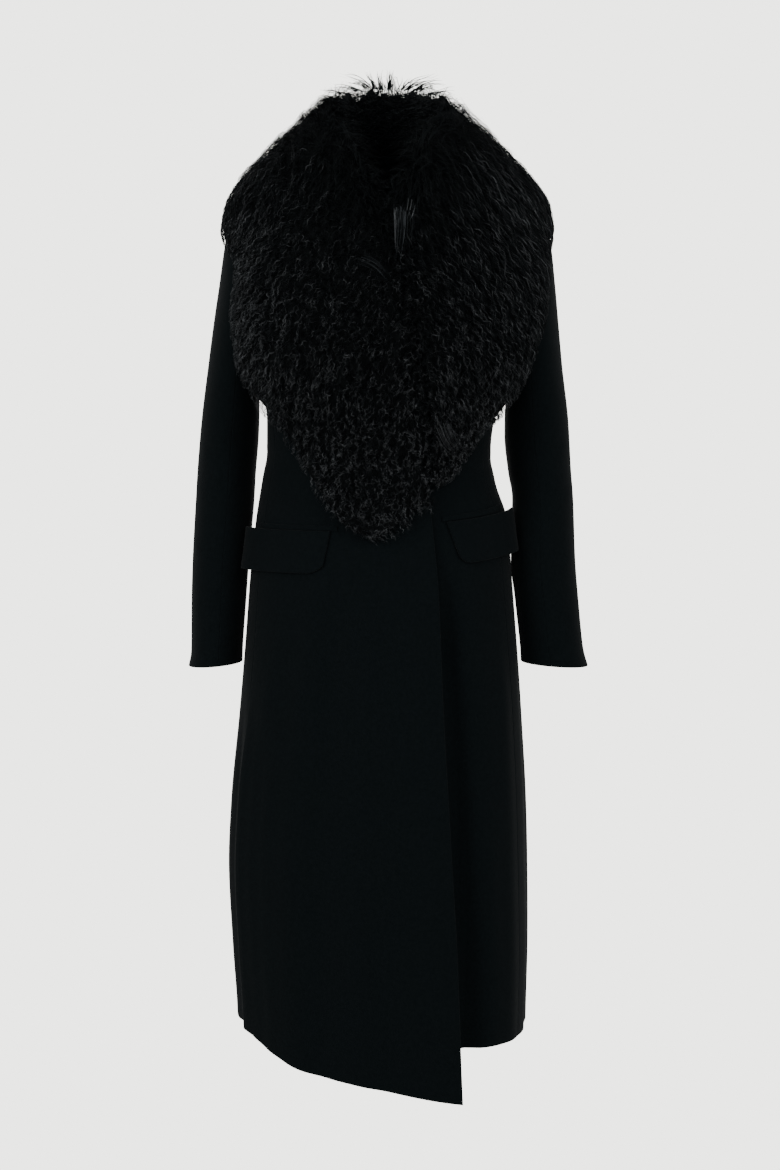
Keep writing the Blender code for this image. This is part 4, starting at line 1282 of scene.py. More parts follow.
@dataclass
class Locks:
    """Curled locks of pile, each a bundle of fine flat hairs."""

    pad: FurPad
    count: int
    hairs: int
    seed: int
    segments: int = 9
    width: float = 0.0008
    root: float = 0.56
    tuft: float = 0.0040
    edge_share: float = 1.03
    shares: tuple[float, float] = (-0.03, 0.97)
    first: float = -1.0
    turned: float = 0.0

    def rise(self, rng: np.random.Generator, lock: Array, count: int, t: Array) -> Array:
        """Height of each step of each hair, as a share of the pile's."""
        top = (rng.uniform(*TOP_HEIGHTS, count)[lock] + rng.normal(0.0, TOP_UNEVEN, len(lock)))[:, None]
        height = self.root + (top - self.root) * np.sin(np.pi / 2.0 * np.minimum(t / RISING_PART, 1.0))
        return height - TIP_DROP * np.clip(t - RISING_PART, 0.0, None) / TIP_PART

    def curl(self, rng: np.random.Generator, lock: Array, look: dict[str, Array], length: Array,
             t: Array) -> tuple[Array, Array]:
        """How far the curl takes each step of each hair to its side and out.

        Args:
            rng: Source of the curls.
            lock: Number of each hair's lock.
            look: Curl and wave of each lock.
            length: Length of each hair.
            t: Steps along a hair, from 0 to 1.

        Returns:
            Distances to the side, and distances out.
        """
        count, total = len(look["curl"]), len(lock)
        hand = rng.choice([-1.0, 1.0], count)[lock]
        loose = rng.random(total) < LOOSE_SHARE
        phase = rng.uniform(0.0, math.tau, count)[lock] + rng.normal(0.0, PHASE_UNEVEN, total)
        phase = np.where(loose, rng.uniform(0.0, math.tau, total), phase)
        wave = look["wave"][lock] * rng.uniform(*WAVE_SIZES, count)[lock]
        turn = phase[:, None] + hand[:, None] * math.tau * length[:, None] * t / wave[:, None]
        size = (look["curl"][lock] * rng.uniform(*CURL_SIZES, count)[lock])[:, None] * ease(t / CURL_STARTS)
        size = size * (1.0 + CURL_GROWTH * t)
        return size * np.cos(turn), size * CURL_FLATNESS * (CURL_LIFT + np.sin(turn)) + PILE_CLEAR

    def finishes(self, rng: np.random.Generator, points: Array, share: Array) -> Array:
        """Number of each hair's finish: 0 plain, 1 painted shade, 2 glossy with painted glints.

        Args:
            rng: Source of the mixture.
            points: Middle lines of the hairs.
            share: Where each hair's lock lies across the pad.

        Returns:
            The numbers.
        """
        x, y, z = points[:, SAMPLED_STEP].T
        # Painted shade: reach is the distance out of a dark ellipse round the throat, in front of the neck.
        reach = np.hypot(x / THROAT_WIDE, (z - THROAT_LEVEL) / THROAT_HIGH)
        reach = reach + np.clip(y / THROAT_DEEP, 0.0, 2.0)
        # Painted light: the share of glint hairs grows low down and in a patch on the wearer's right
        # shoulder.
        lower = ease((PAINTED_LIGHT_LEVEL - z) / PAINTED_LIGHT_FADE)
        bright = np.hypot((x - BRIGHT_X) / BRIGHT_WIDE, (z - BRIGHT_Z) / BRIGHT_HIGH)
        glossy = GLOSSY_PAINTED_GLINT_SHARE + LOWER_PAINTED_LIGHT * lower + PAINTED_LIGHT_PATCH * np.exp(-bright ** 2)
        numbers = np.where(rng.random(len(points)) < glossy, 2, 0)
        # Painted shade also on the lapels' inner rim near the neck and on every turned lock.
        rim = (share < RIM_SHARE) & (z > RIM_LEVEL)
        shaded = (reach + rng.normal(0.0, THROAT_FADE, len(points)) < 1.0) | rim | (self.turned != 0.0)
        return np.where(shaded, 1, numbers)

    def centre_lines(self) -> tuple[Array, Array, Array]:
        """Middle lines of the hairs and the way each lock looks out.

        Returns:
            Points as (hair, step, 3), one unit vector for each hair, and the number of each hair's finish.
        """
        pad = self.pad
        rng = np.random.default_rng(self.seed)
        place, share = pad.spread(self.count, rng, self.shares)
        kept = place > self.first
        place, share = place[kept], share[kept]
        count = len(place)
        look = {name: table_line(pad.looks, "place", name)(place) for name in Look._fields[1:]}
        flow = look["flow"] + rng.normal(0.0, 1.0, count) * look["spread"]
        scatter = NECK_SCATTER if self.turned == 0.0 else TURNED_SCATTER
        inner = ease((NECK_EDGE - share) / NECK_EDGE)
        flow = np.radians(flow + rng.normal(0.0, scatter, count) * inner + self.turned)
        across = pad.slope(place, share, 0.0, PAD_SHARE_STEP)
        down = pad.slope(place, share, PAD_PLACE_STEP, 0.0)
        metres_s, metres_p = np.linalg.norm(across, axis=-1), np.linalg.norm(down, axis=-1)
        out = unit(outward_of(across, down, pad.read(pad.lifts, place, np.clip(share, 0.1, 0.9))))
        way = unit(across) * np.cos(flow)[:, None] + unit(down) * np.sin(flow)[:, None]
        scale = 1.0 / np.maximum(np.linalg.norm(way, axis=-1), SLOWEST_WAY)
        speed_s, speed_p = np.cos(flow) * scale / metres_s, np.sin(flow) * scale / metres_p
        lock = np.repeat(np.arange(count), self.hairs)
        total = len(lock)
        t = np.linspace(0.0, 1.0, self.segments + 1)[None, :]
        length = look["length"][lock] * rng.uniform(*HAIR_LENGTHS, total)
        length = length * rng.uniform(*LOCK_LENGTHS, count)[lock]
        run = speed_s[lock] * length * LYING_PART
        room = (self.edge_share - share[lock]) / np.maximum(run, SHORTEST_RUN)
        inward = (share[lock] - SHARE_LOW - PAD_SHARE_STEP) / np.maximum(-run, SHORTEST_RUN)
        room = np.clip(np.where(speed_s[lock] > 0.0, room, inward), LEAST_ROOM, 1.0)
        travel = (length * LYING_PART * room)[:, None] * t
        radius = self.tuft * np.sqrt(rng.random(total))
        bearing = rng.uniform(0.0, math.tau, total)
        close = 1.0 - LOCK_CLOSING * t ** CLOSING_POWER
        off_s = (radius * np.cos(bearing))[:, None] * close / metres_s[lock][:, None] * LOCK_WIDENING
        off_p = (radius * np.sin(bearing))[:, None] * close / metres_p[lock][:, None] * LOCK_WIDENING
        at_share = share[lock][:, None] + speed_s[lock][:, None] * travel + off_s
        at_place = place[lock][:, None] + speed_p[lock][:, None] * travel + off_p
        points = pad.at_height(at_place, at_share, self.rise(rng, lock, count, t)[..., None])
        aside, off = self.curl(rng, lock, look, length, t)
        points = points + unit(np.cross(out, unit(way)))[lock][:, None, :] * aside[..., None]
        points = points + out[lock][:, None, :] * off[..., None]
        return points, out[lock], self.finishes(rng, points, share[lock])

    def build(self, name: str) -> bpy.types.Object:
        """Builds the locks as one joined mesh of ribbons."""
        points, look_out, finish = self.centre_lines()
        piece = ribbons(name, points, look_out, self.width, np.random.default_rng(self.seed + 900))
        number_finishes(piece, finish, self.segments)
        return piece


@dataclass
class NeckLocks:
    """Long dark hairs that stand off the inner face of the fur, into the neck opening."""

    pad: FurPad
    first: float
    last: float
    count: int
    seed: int
    length: float = 0.038
    depthwise: float = 1.0
    upward: float = 1.0
    width: float = 0.0008
    segments: int = 9
    rises: tuple[float, float] = (0.10, 0.97)
    start_height: float = 0.84
    uneven: float = 0.01
    ups: tuple[float, float] = (-0.25, 1.15)
    least_up: float = 0.1
    ins: tuple[float, float] = (0.25, 0.9)
    around: tuple[float, float] = (0.15, 0.35)
    lengths: tuple[float, float] = (0.55, 1.15)
    wave: float = 0.016
    curl: float = 0.0013
    sag: float = 0.32

    def build(self, name: str) -> bpy.types.Object:
        """Builds the hairs as one joined mesh of ribbons."""
        pad, rng, count = self.pad, np.random.default_rng(self.seed), self.count
        place = rng.uniform(self.first, self.last, count)
        rise = rng.uniform(*self.rises, count)
        share = (1.0 - (1.0 - rise ** PAD_FACE_ROUNDNESS) ** (1.0 / PAD_FACE_ROUNDNESS)) / 2.0
        feet, lifts = pad.sample(place, share, rise)
        start = feet + lifts * self.start_height
        steps = (PAD_PLACE_STEP, -PAD_PLACE_STEP)
        ahead, behind = (pad.sample(place + step, share, rise)[0] for step in steps)
        inward = start * np.array([-1.0, -self.depthwise, 0.0]) + rng.normal(0.0, self.uneven, (count, 3))
        inward = unit(inward)
        up = np.array([0.0, 0.0, 1.0])
        lift = (rng.uniform(*self.ups, count) * rise + self.least_up) * self.upward
        way = unit(inward * rng.uniform(*self.ins, count)[:, None] + up * lift[:, None]
                   + unit(ahead - behind) * rng.normal(*self.around, count)[:, None])
        t = np.linspace(0.0, 1.0, self.segments + 1)[None, :]
        length = (self.length * rng.uniform(*self.lengths, count))[:, None]
        side = unit(np.cross(way, inward + up * 0.3))
        turn = rng.uniform(0.0, math.tau, (count, 1)) + math.tau * length * t / self.wave
        curl = self.curl * ease(t / CURL_STARTS)
        points = start[:, None, :] + way[:, None, :] * (length * t)[..., None]
        points = points + side[:, None, :] * (curl * np.cos(turn))[..., None]
        points = points + np.cross(side, way)[:, None, :] * (curl * np.sin(turn))[..., None]
        points = points - up * (length * self.sag * t ** 2)[..., None]
        return ribbons(name, points, unit(inward + up * 0.2), self.width, rng)


def outward_of(across: Array, down: Array, lifts: Array) -> Array:
    """Normals of a pad's foot, on the side that its lifts go to."""
    normal = unit(np.cross(across, down))
    turned = np.sign(np.einsum("ij,ij->i", normal, lifts))
    return normal * np.where(turned == 0.0, 1.0, turned)[:, None]


def lapel_pad(bed: SectionForm, rows: tuple[Fur, ...], side: Side, looks: tuple[Look, ...]) -> FurPad:
    """Fur pad of a lapel.

    Args:
        bed: What the fur lies on.
        rows: The lapel's table.
        side: The wearer's side.
        looks: How its pile flows and curls.

    Returns:
        The pad.
    """
    angles: list[Line] = []
    for edge in ("inner", "outer"):
        x, z = (np.array([getattr(row, f"{edge}_{axis}") for row in rows]) for axis in "xz")
        turned = bed.angle_at(x, z)
        turned[0] = side.sign * (90.0 - SHOULDER_GAP)
        angles.append(Line(range(len(rows)), turned))
    heights = (place_line(rows, "inner_z"), place_line(rows, "outer_z"))
    pile = {key: place_line(rows, key) for key in PILE_SIZES}
    return FurPad(f"fur_pad_{side.word}", f"lapel_{side.word}", bed, (angles[0], angles[1]), heights,
                  pile, looks, far=len(rows) - 1.0, lapped=False)


def back_pad(bed: SectionForm, rows: tuple[BackFur, ...], looks: tuple[Look, ...]) -> FurPad:
    """Fur pad behind the neck, from the right shoulder to the left one."""
    turns = np.linspace(90.0 + SHOULDER_GAP, 270.0 - SHOULDER_GAP, BACK_STATIONS)
    places = range(BACK_STATIONS)

    def read(key: str) -> Line:
        """One column of the table, read round the back."""
        return Line(places, table_line(rows, "off", key)(np.abs(turns - 180.0)))

    angle = Line(places, turns)
    return FurPad("fur_pad_back", "collar_back", bed, (angle, angle), (read("inner_z"), read("outer_z")),
                  {key: read(key) for key in PILE_SIZES}, looks, far=BACK_STATIONS - 1.0, lapped=True)


class Tuft(NamedTuple):
    """Loose tuft on top of the collar: its foot, its tilt to the side and how much it turns on the way."""

    x: float
    y: float
    z: float
    width: float
    lean: float
    turn: float
    length: float
    hairs: int


TUFTS = tuple(Tuft(*row) for row in (
    (-0.0170, 0.070, 0.0670, 0.010, -44, -50, 0.042, 12),
    (-0.0320, 0.068, 0.0640, 0.014, -54, -44, 0.036, 12),
    (-0.0500, 0.064, 0.0600, 0.014, -60, -42, 0.030, 10),
    (-0.0120, 0.072, 0.0670, 0.007, -12, -26, 0.0250, 12),
    (-0.0040, 0.074, 0.0670, 0.007, -18, 16, 0.0248, 12),
    (0.0070, 0.074, 0.0670, 0.007, 5, 7, 0.0244, 16),
    (0.0180, 0.072, 0.0660, 0.007, 32, -20, 0.0255, 4),
    (0.0240, 0.070, 0.0650, 0.012, 50, 42, 0.046, 11),
    (0.0370, 0.068, 0.0630, 0.012, 46, 58, 0.042, 11),
    (0.0540, 0.064, 0.0590, 0.010, 64, 44, 0.040, 9),
    (0.0680, 0.060, 0.0530, 0.012, 66, 40, 0.028, 8),
    (-0.0680, 0.060, 0.0530, 0.014, -62, -30, 0.026, 8),
))


class Combed(NamedTuple):
    """Smooth lock, lighter by painted sheen, from one place on the front to another."""

    x_a: float
    z_a: float
    x_b: float
    z_b: float
    width: float
    hairs: int
    bend: float
    finish: int


COMBED_LOCKS = tuple(Combed(*row) for row in (
    (0.0150, -0.1080, 0.0150, -0.1560, 0.0040, 8, 0.000, 1),
    (0.0225, -0.1090, 0.0180, -0.1660, 0.0130, 10, 0.001, 0),
    (0.0230, -0.1080, 0.0190, -0.1640, 0.0160, 12, 0.002, 2),
    (0.0370, -0.0980, 0.0260, -0.1280, 0.0110, 3, 0.002, 1),
    (0.0330, -0.1060, 0.0290, -0.1460, 0.0130, 8, 0.003, 2),
    (-0.0260, -0.1640, 0.0050, -0.1880, 0.0200, 4, 0.004, 0),
    (-0.0260, -0.1660, 0.0040, -0.1900, 0.0220, 10, 0.004, 2),
    (0.0740, -0.3740, 0.0990, -0.4120, 0.0260, 12, -0.004, 1),
))


@dataclass(frozen=True)
class WoolFinish:
    """Felted black wool with a short soft nap."""

    dark: Colour = (0.0001, 0.0010, 0.0015, 1.0)
    light: Colour = (0.0025, 0.0041, 0.0050, 1.0)
    roughness: float = 0.86
    sheen: float = 0.06
    sheen_roughness: float = 0.45
    shine: float = 0.18
    tint: Colour = (0.74, 0.95, 1.0, 1.0)
    fibre: float = 900.0
    mottle: float = 210.0
    bump: float = 0.5
    bump_depth: float = 0.0006

    def make(self, name: str, nap: bpy.types.NodeTree) -> bpy.types.Material:
        """Builds the wool.

        Args:
            name: The material's name.
            nap: The shared group for fine height and mottle.

        Returns:
            The material.
        """
        material, shader = principled(name)
        tree = material.node_tree
        group = place_group(tree, nap, self.fibre, self.mottle)
        colour_between(tree, shader, self.dark, self.light, group.outputs["Mottle"])
        add_bump(tree, shader, group.outputs["Height"], self.bump, self.bump_depth)
        set_inputs(shader, {"Roughness": self.roughness, "Specular IOR Level": self.shine,
                            "Specular Tint": self.tint, "Sheen Weight": self.sheen,
                            "Sheen Roughness": self.sheen_roughness})
        return material


@dataclass(frozen=True)
class FurFinish:
    """Glossy near-black pile, in patches and speckles of a lighter black."""

    dark: Colour = (0.0003, 0.0007, 0.0010, 1.0)
    light: Colour = (0.0040, 0.0050, 0.0058, 1.0)
    roughness_low: float = 0.75
    roughness_high: float = 0.25
    shine: float = 0.22
    tint: Colour = (0.86, 0.97, 1.0, 1.0)
    fibre: float = 700.0
    mottle: float = 400.0
    patch: float = 16.0
    patch_fibre: float = 40.0
    patch_least: float = 0.35
    twist: float = 0.0
    bump: float = 0.0
    bump_depth: float = 0.001

    def make(self, name: str, nap: bpy.types.NodeTree) -> bpy.types.Material:
        """Builds the pile's material.

        Args:
            name: The material's name.
            nap: The shared group for fine height and mottle.

        Returns:
            The material.
        """
        material, shader = principled(name)
        tree = material.node_tree
        group = place_group(tree, nap, self.fibre, self.mottle, self.twist)
        patches = place_group(tree, nap, self.patch_fibre, self.patch).outputs["Mottle"]
        patches = in_range(tree, patches, {"To Min": self.patch_least, "To Max": 1.0})
        speckle = calculated(tree, "MULTIPLY", patches, group.outputs["Mottle"])
        colour_between(tree, shader, self.dark, self.light, speckle)
        gloss = in_range(tree, speckle, {"To Min": self.roughness_low, "To Max": self.roughness_high})
        tree.links.new(gloss, shader.inputs["Roughness"])
        if self.bump > 0.0:
            add_bump(tree, shader, group.outputs["Height"], self.bump, self.bump_depth)
        set_inputs(shader, {"Specular IOR Level": self.shine, "Specular Tint": self.tint})
        return material


FUR_FINISHES = {
    "curly_fur": FurFinish(),
    "under_fur": FurFinish((0.0006, 0.0008, 0.0010, 1.0), (0.0030, 0.0036, 0.0042, 1.0), 0.75, 0.45, 0.20,
                           fibre=520.0, mottle=170.0, twist=2.4, bump=1.0, bump_depth=0.0022),
    # Painted sheen: a lighter copy of the fur for the combed locks, standing in for the sheen of flat-combed
    # hair.
    "combed_fur": FurFinish((0.0050, 0.0053, 0.0072, 1.0), (0.0160, 0.0170, 0.0220, 1.0), 0.50, 0.36, 0.5),
    # Painted light: a lighter copy of the fur for the hairs inside the back of the neck, which lie in
    # shadow.
    "neck_fur": FurFinish((0.0012, 0.0017, 0.0020, 1.0), (0.0080, 0.0096, 0.0110, 1.0), 0.60, 0.30, 0.4),
    # Painted shade: a darker copy of the fur for the hairs round the throat and along the V's rim.
    "shaded_fur": FurFinish((0.0003, 0.0006, 0.0008, 1.0), (0.0034, 0.0046, 0.0054, 1.0), 0.70, 0.32, 0.20),
    # Real gloss, and a lighter colour that is painted glints.
    "glossy_fur": FurFinish((0.0050, 0.0056, 0.0066, 1.0), (0.0270, 0.0300, 0.0350, 1.0), 0.50, 0.24, 0.9,
                            (0.92, 0.97, 1.0, 1.0)),
}


def principled(name: str) -> tuple[bpy.types.Material, bpy.types.Node]:
    """New material and its main shader."""
    material = bpy.data.materials.new(name)
    material.use_nodes = True
    return material, material.node_tree.nodes["Principled BSDF"]


def set_inputs(node: bpy.types.Node, values: dict[str, float | Colour]) -> None:
    """Sets a node's plain numbers and colours by their sockets' names."""
    for name, value in values.items():
        node.inputs[name].default_value = value


def calculated(tree: bpy.types.NodeTree, operation: str,
               *values: bpy.types.NodeSocket | float) -> bpy.types.NodeSocket:
    """Result of a Math node that takes sockets and plain numbers."""
    node = tree.nodes.new("ShaderNodeMath")
    node.operation = operation
    for socket, value in zip(node.inputs, values):
        if isinstance(value, bpy.types.NodeSocket):
            tree.links.new(value, socket)
        else:
            socket.default_value = value
    return node.outputs[0]


def in_range(tree: bpy.types.NodeTree, value: bpy.types.NodeSocket,
             limits: dict[str, float]) -> bpy.types.NodeSocket:
    """Value moved from one range to another."""
    node = tree.nodes.new("ShaderNodeMapRange")
    set_inputs(node, limits)
    tree.links.new(value, node.inputs["Value"])
    return node.outputs["Result"]


def colour_between(tree: bpy.types.NodeTree, shader: bpy.types.Node, dark: Colour, light: Colour,
                   share: bpy.types.NodeSocket) -> None:
    """Gives the shader a colour between two, by a share that changes over the surface."""
    blend = tree.nodes.new("ShaderNodeMix")
    blend.data_type = "RGBA"
    set_inputs(blend, {"A": dark, "B": light})
    tree.links.new(share, blend.inputs["Factor"])
    tree.links.new(blend.outputs["Result"], shader.inputs["Base Color"])


def place_group(tree: bpy.types.NodeTree, nap: bpy.types.NodeTree, fibre: float, mottle: float,
                twist: float = 0.0) -> bpy.types.Node:
    """Places the nap group in a material, on the piece's own coordinates."""
    where = tree.nodes.new("ShaderNodeTexCoord")
    group = tree.nodes.new("ShaderNodeGroup")
    group.node_tree = nap
    set_inputs(group, {"Fibre Scale": fibre, "Mottle Scale": mottle, "Twist": twist})
    tree.links.new(where.outputs["Object"], group.inputs["Vector"])
    return group


def add_bump(tree: bpy.types.NodeTree, shader: bpy.types.Node, height: bpy.types.NodeSocket,
             strength: float, distance: float) -> None:
    """Feeds a height into the shader's normal."""
    bump = tree.nodes.new("ShaderNodeBump")
    set_inputs(bump, {"Strength": strength, "Distance": distance})
    tree.links.new(height, bump.inputs["Height"])
    tree.links.new(bump.outputs["Normal"], shader.inputs["Normal"])


def camera_sees(tree: bpy.types.NodeTree, light: bpy.types.NodeSocket, seen: bpy.types.NodeSocket,
                output: str) -> None:
    """Shows the camera one shader, and lets every other ray meet another."""
    path = tree.nodes.new("ShaderNodeLightPath")
    mix = tree.nodes.new("ShaderNodeMixShader")
    tree.links.new(path.outputs["Is Camera Ray"], mix.inputs[0])
    tree.links.new(light, mix.inputs[1])
    tree.links.new(seen, mix.inputs[2])
    tree.links.new(mix.outputs[0], tree.nodes[output].inputs["Surface"])


def make_nap_group() -> bpy.types.NodeTree:
    """Node group that gives a fine fibre height and a soft mottle.

    Returns:
        The group, with inputs Vector, Fibre Scale, Mottle Scale and Twist, and outputs Height and Mottle.
    """
    group = bpy.data.node_groups.new("fibre_nap", "ShaderNodeTree")
    group.interface.new_socket("Vector", in_out="INPUT", socket_type="NodeSocketVector")
    for name in ("Fibre Scale", "Mottle Scale", "Twist"):
        group.interface.new_socket(name, in_out="INPUT", socket_type="NodeSocketFloat")
    for name in ("Height", "Mottle"):
        group.interface.new_socket(name, in_out="OUTPUT", socket_type="NodeSocketFloat")
    start = group.nodes.new("NodeGroupInput")
    end = group.nodes.new("NodeGroupOutput")

    def noise(scale: str, detail: float, roughness: float) -> bpy.types.NodeSocket:
        """Noise of the size that one of the inputs gives."""
        node = group.nodes.new("ShaderNodeTexNoise")
        set_inputs(node, {"Detail": detail, "Roughness": roughness})
        for source, target in (("Vector", "Vector"), (scale, "Scale"), ("Twist", "Distortion")):
            group.links.new(start.outputs[source], node.inputs[target])
        return node.outputs[0]

    fine = noise("Fibre Scale", 3.0, 0.62)
    soft = noise("Mottle Scale", 2.0, 0.5)
    both = calculated(group, "MULTIPLY_ADD", fine, 0.5, calculated(group, "MULTIPLY", soft, 0.5))
    group.links.new(calculated(group, "MULTIPLY_ADD", soft, 0.45, fine), end.inputs["Height"])
    group.links.new(in_range(group, both, {"From Min": 0.30, "From Max": 0.70}), end.inputs["Mottle"])
    return group


@dataclass
class Cloth:
    """All the wool: fronts, backs, sleeves, flaps and jets."""

    form: CoatForm
    wool: bpy.types.Material

    def dress(self, piece: bpy.types.Object, node: str) -> None:
        """Gives a cloth piece its finish and its place.

        Args:
            piece: The cloth piece.
            node: The solid that it stands for.
        """
        piece.data.materials.append(self.wool)
        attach(piece, "root")
        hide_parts(node)
        log.info("%s: %d faces", piece.name, len(piece.data.polygons))

    def build_body(self) -> None:
        """Builds the two fronts and the two halves of the back."""
        form = self.form
        hems = (HEM_RIGHT_FRONT, HEM_LEFT_FRONT, HEM_BACK)
        right, left, back = (table_line(rows, "angle", "z") for rows in hems)

        def free_edge(line: Line) -> Callable[[Array], Array]:
            """Angles of a front's free edge."""
            return lambda z: form.body.angle_at(line(z), z)

        def centre_back(side: Side) -> Callable[[Array], Array]:
            """Angles of the centre back seam on one side."""
            return lambda z: side.sign * (180.0 + np.degrees(SEAM_LAP / form.body.sizes(z)[1]))

        panels = (
            Panel("front_right", form, form.right_front, right, Side.RIGHT, 1, free_edge(form.right_edge),
                  Cut(0.37, 1.25, 0.33), 0.26, FRONT_COLUMNS, "wool_back_right"),
            Panel("front_left", form, form.left_front, left, Side.LEFT, 1, free_edge(form.left_edge),
                  Cut(0.32, 1.18, 0.26), 0.24, FRONT_COLUMNS, "wool_back_left"),
            Panel("back_right", form, form.back, back, Side.RIGHT, -1, centre_back(Side.RIGHT),
                  Cut(0.40, 1.17, 0.33), 0.28, BACK_COLUMNS, "wool_back_left"),
            Panel("back_left", form, form.back, back, Side.LEFT, -1, centre_back(Side.LEFT),
                  Cut(0.40, 1.18, 0.33), 0.28, BACK_COLUMNS, "wool_back_right"),
        )
        for panel in panels:
            self.dress(panel.build(), panel.node)

    def build_sleeves(self) -> None:
        """Builds the upper and the under piece of each sleeve."""
        for side, creases in ((Side.RIGHT, RIGHT_SLEEVE_CREASES), (Side.LEFT, LEFT_SLEEVE_CREASES)):
            sleeve = SleeveForm(self.form, side, creases)
            for part, start, end, cut in (
                    ("upper", BACK_SLEEVE_SEAM, FRONT_SLEEVE_SEAM, Cut(0.22, 0.64, 0.105)),
                    ("under", FRONT_SLEEVE_SEAM, BACK_SLEEVE_SEAM + 360.0, Cut(0.15, 0.50, 0.055))):
                node = f"sleeve_{part}_{side.word}"
                piece = sleeve.build("wool_" + node, start, end)
                self.dress(piece, node)

    def build_pockets(self) -> None:
        """Builds a flap and a jet on each front."""
        for pocket, surface in ((RIGHT_POCKET, self.form.right_front), (LEFT_POCKET, self.form.left_front)):
            pieces = PocketPieces(pocket=pocket, form=self.form, surface=surface)
            word = pocket.side.word
            for kind, piece, cut in (("flap", pieces.flap(), Cut(0.125, 0.060, 0.0072)),
                                     ("jet", pieces.jet(), Cut(0.078, 0.012, 0.0009))):
                self.dress(piece, f"{kind}_{word}")


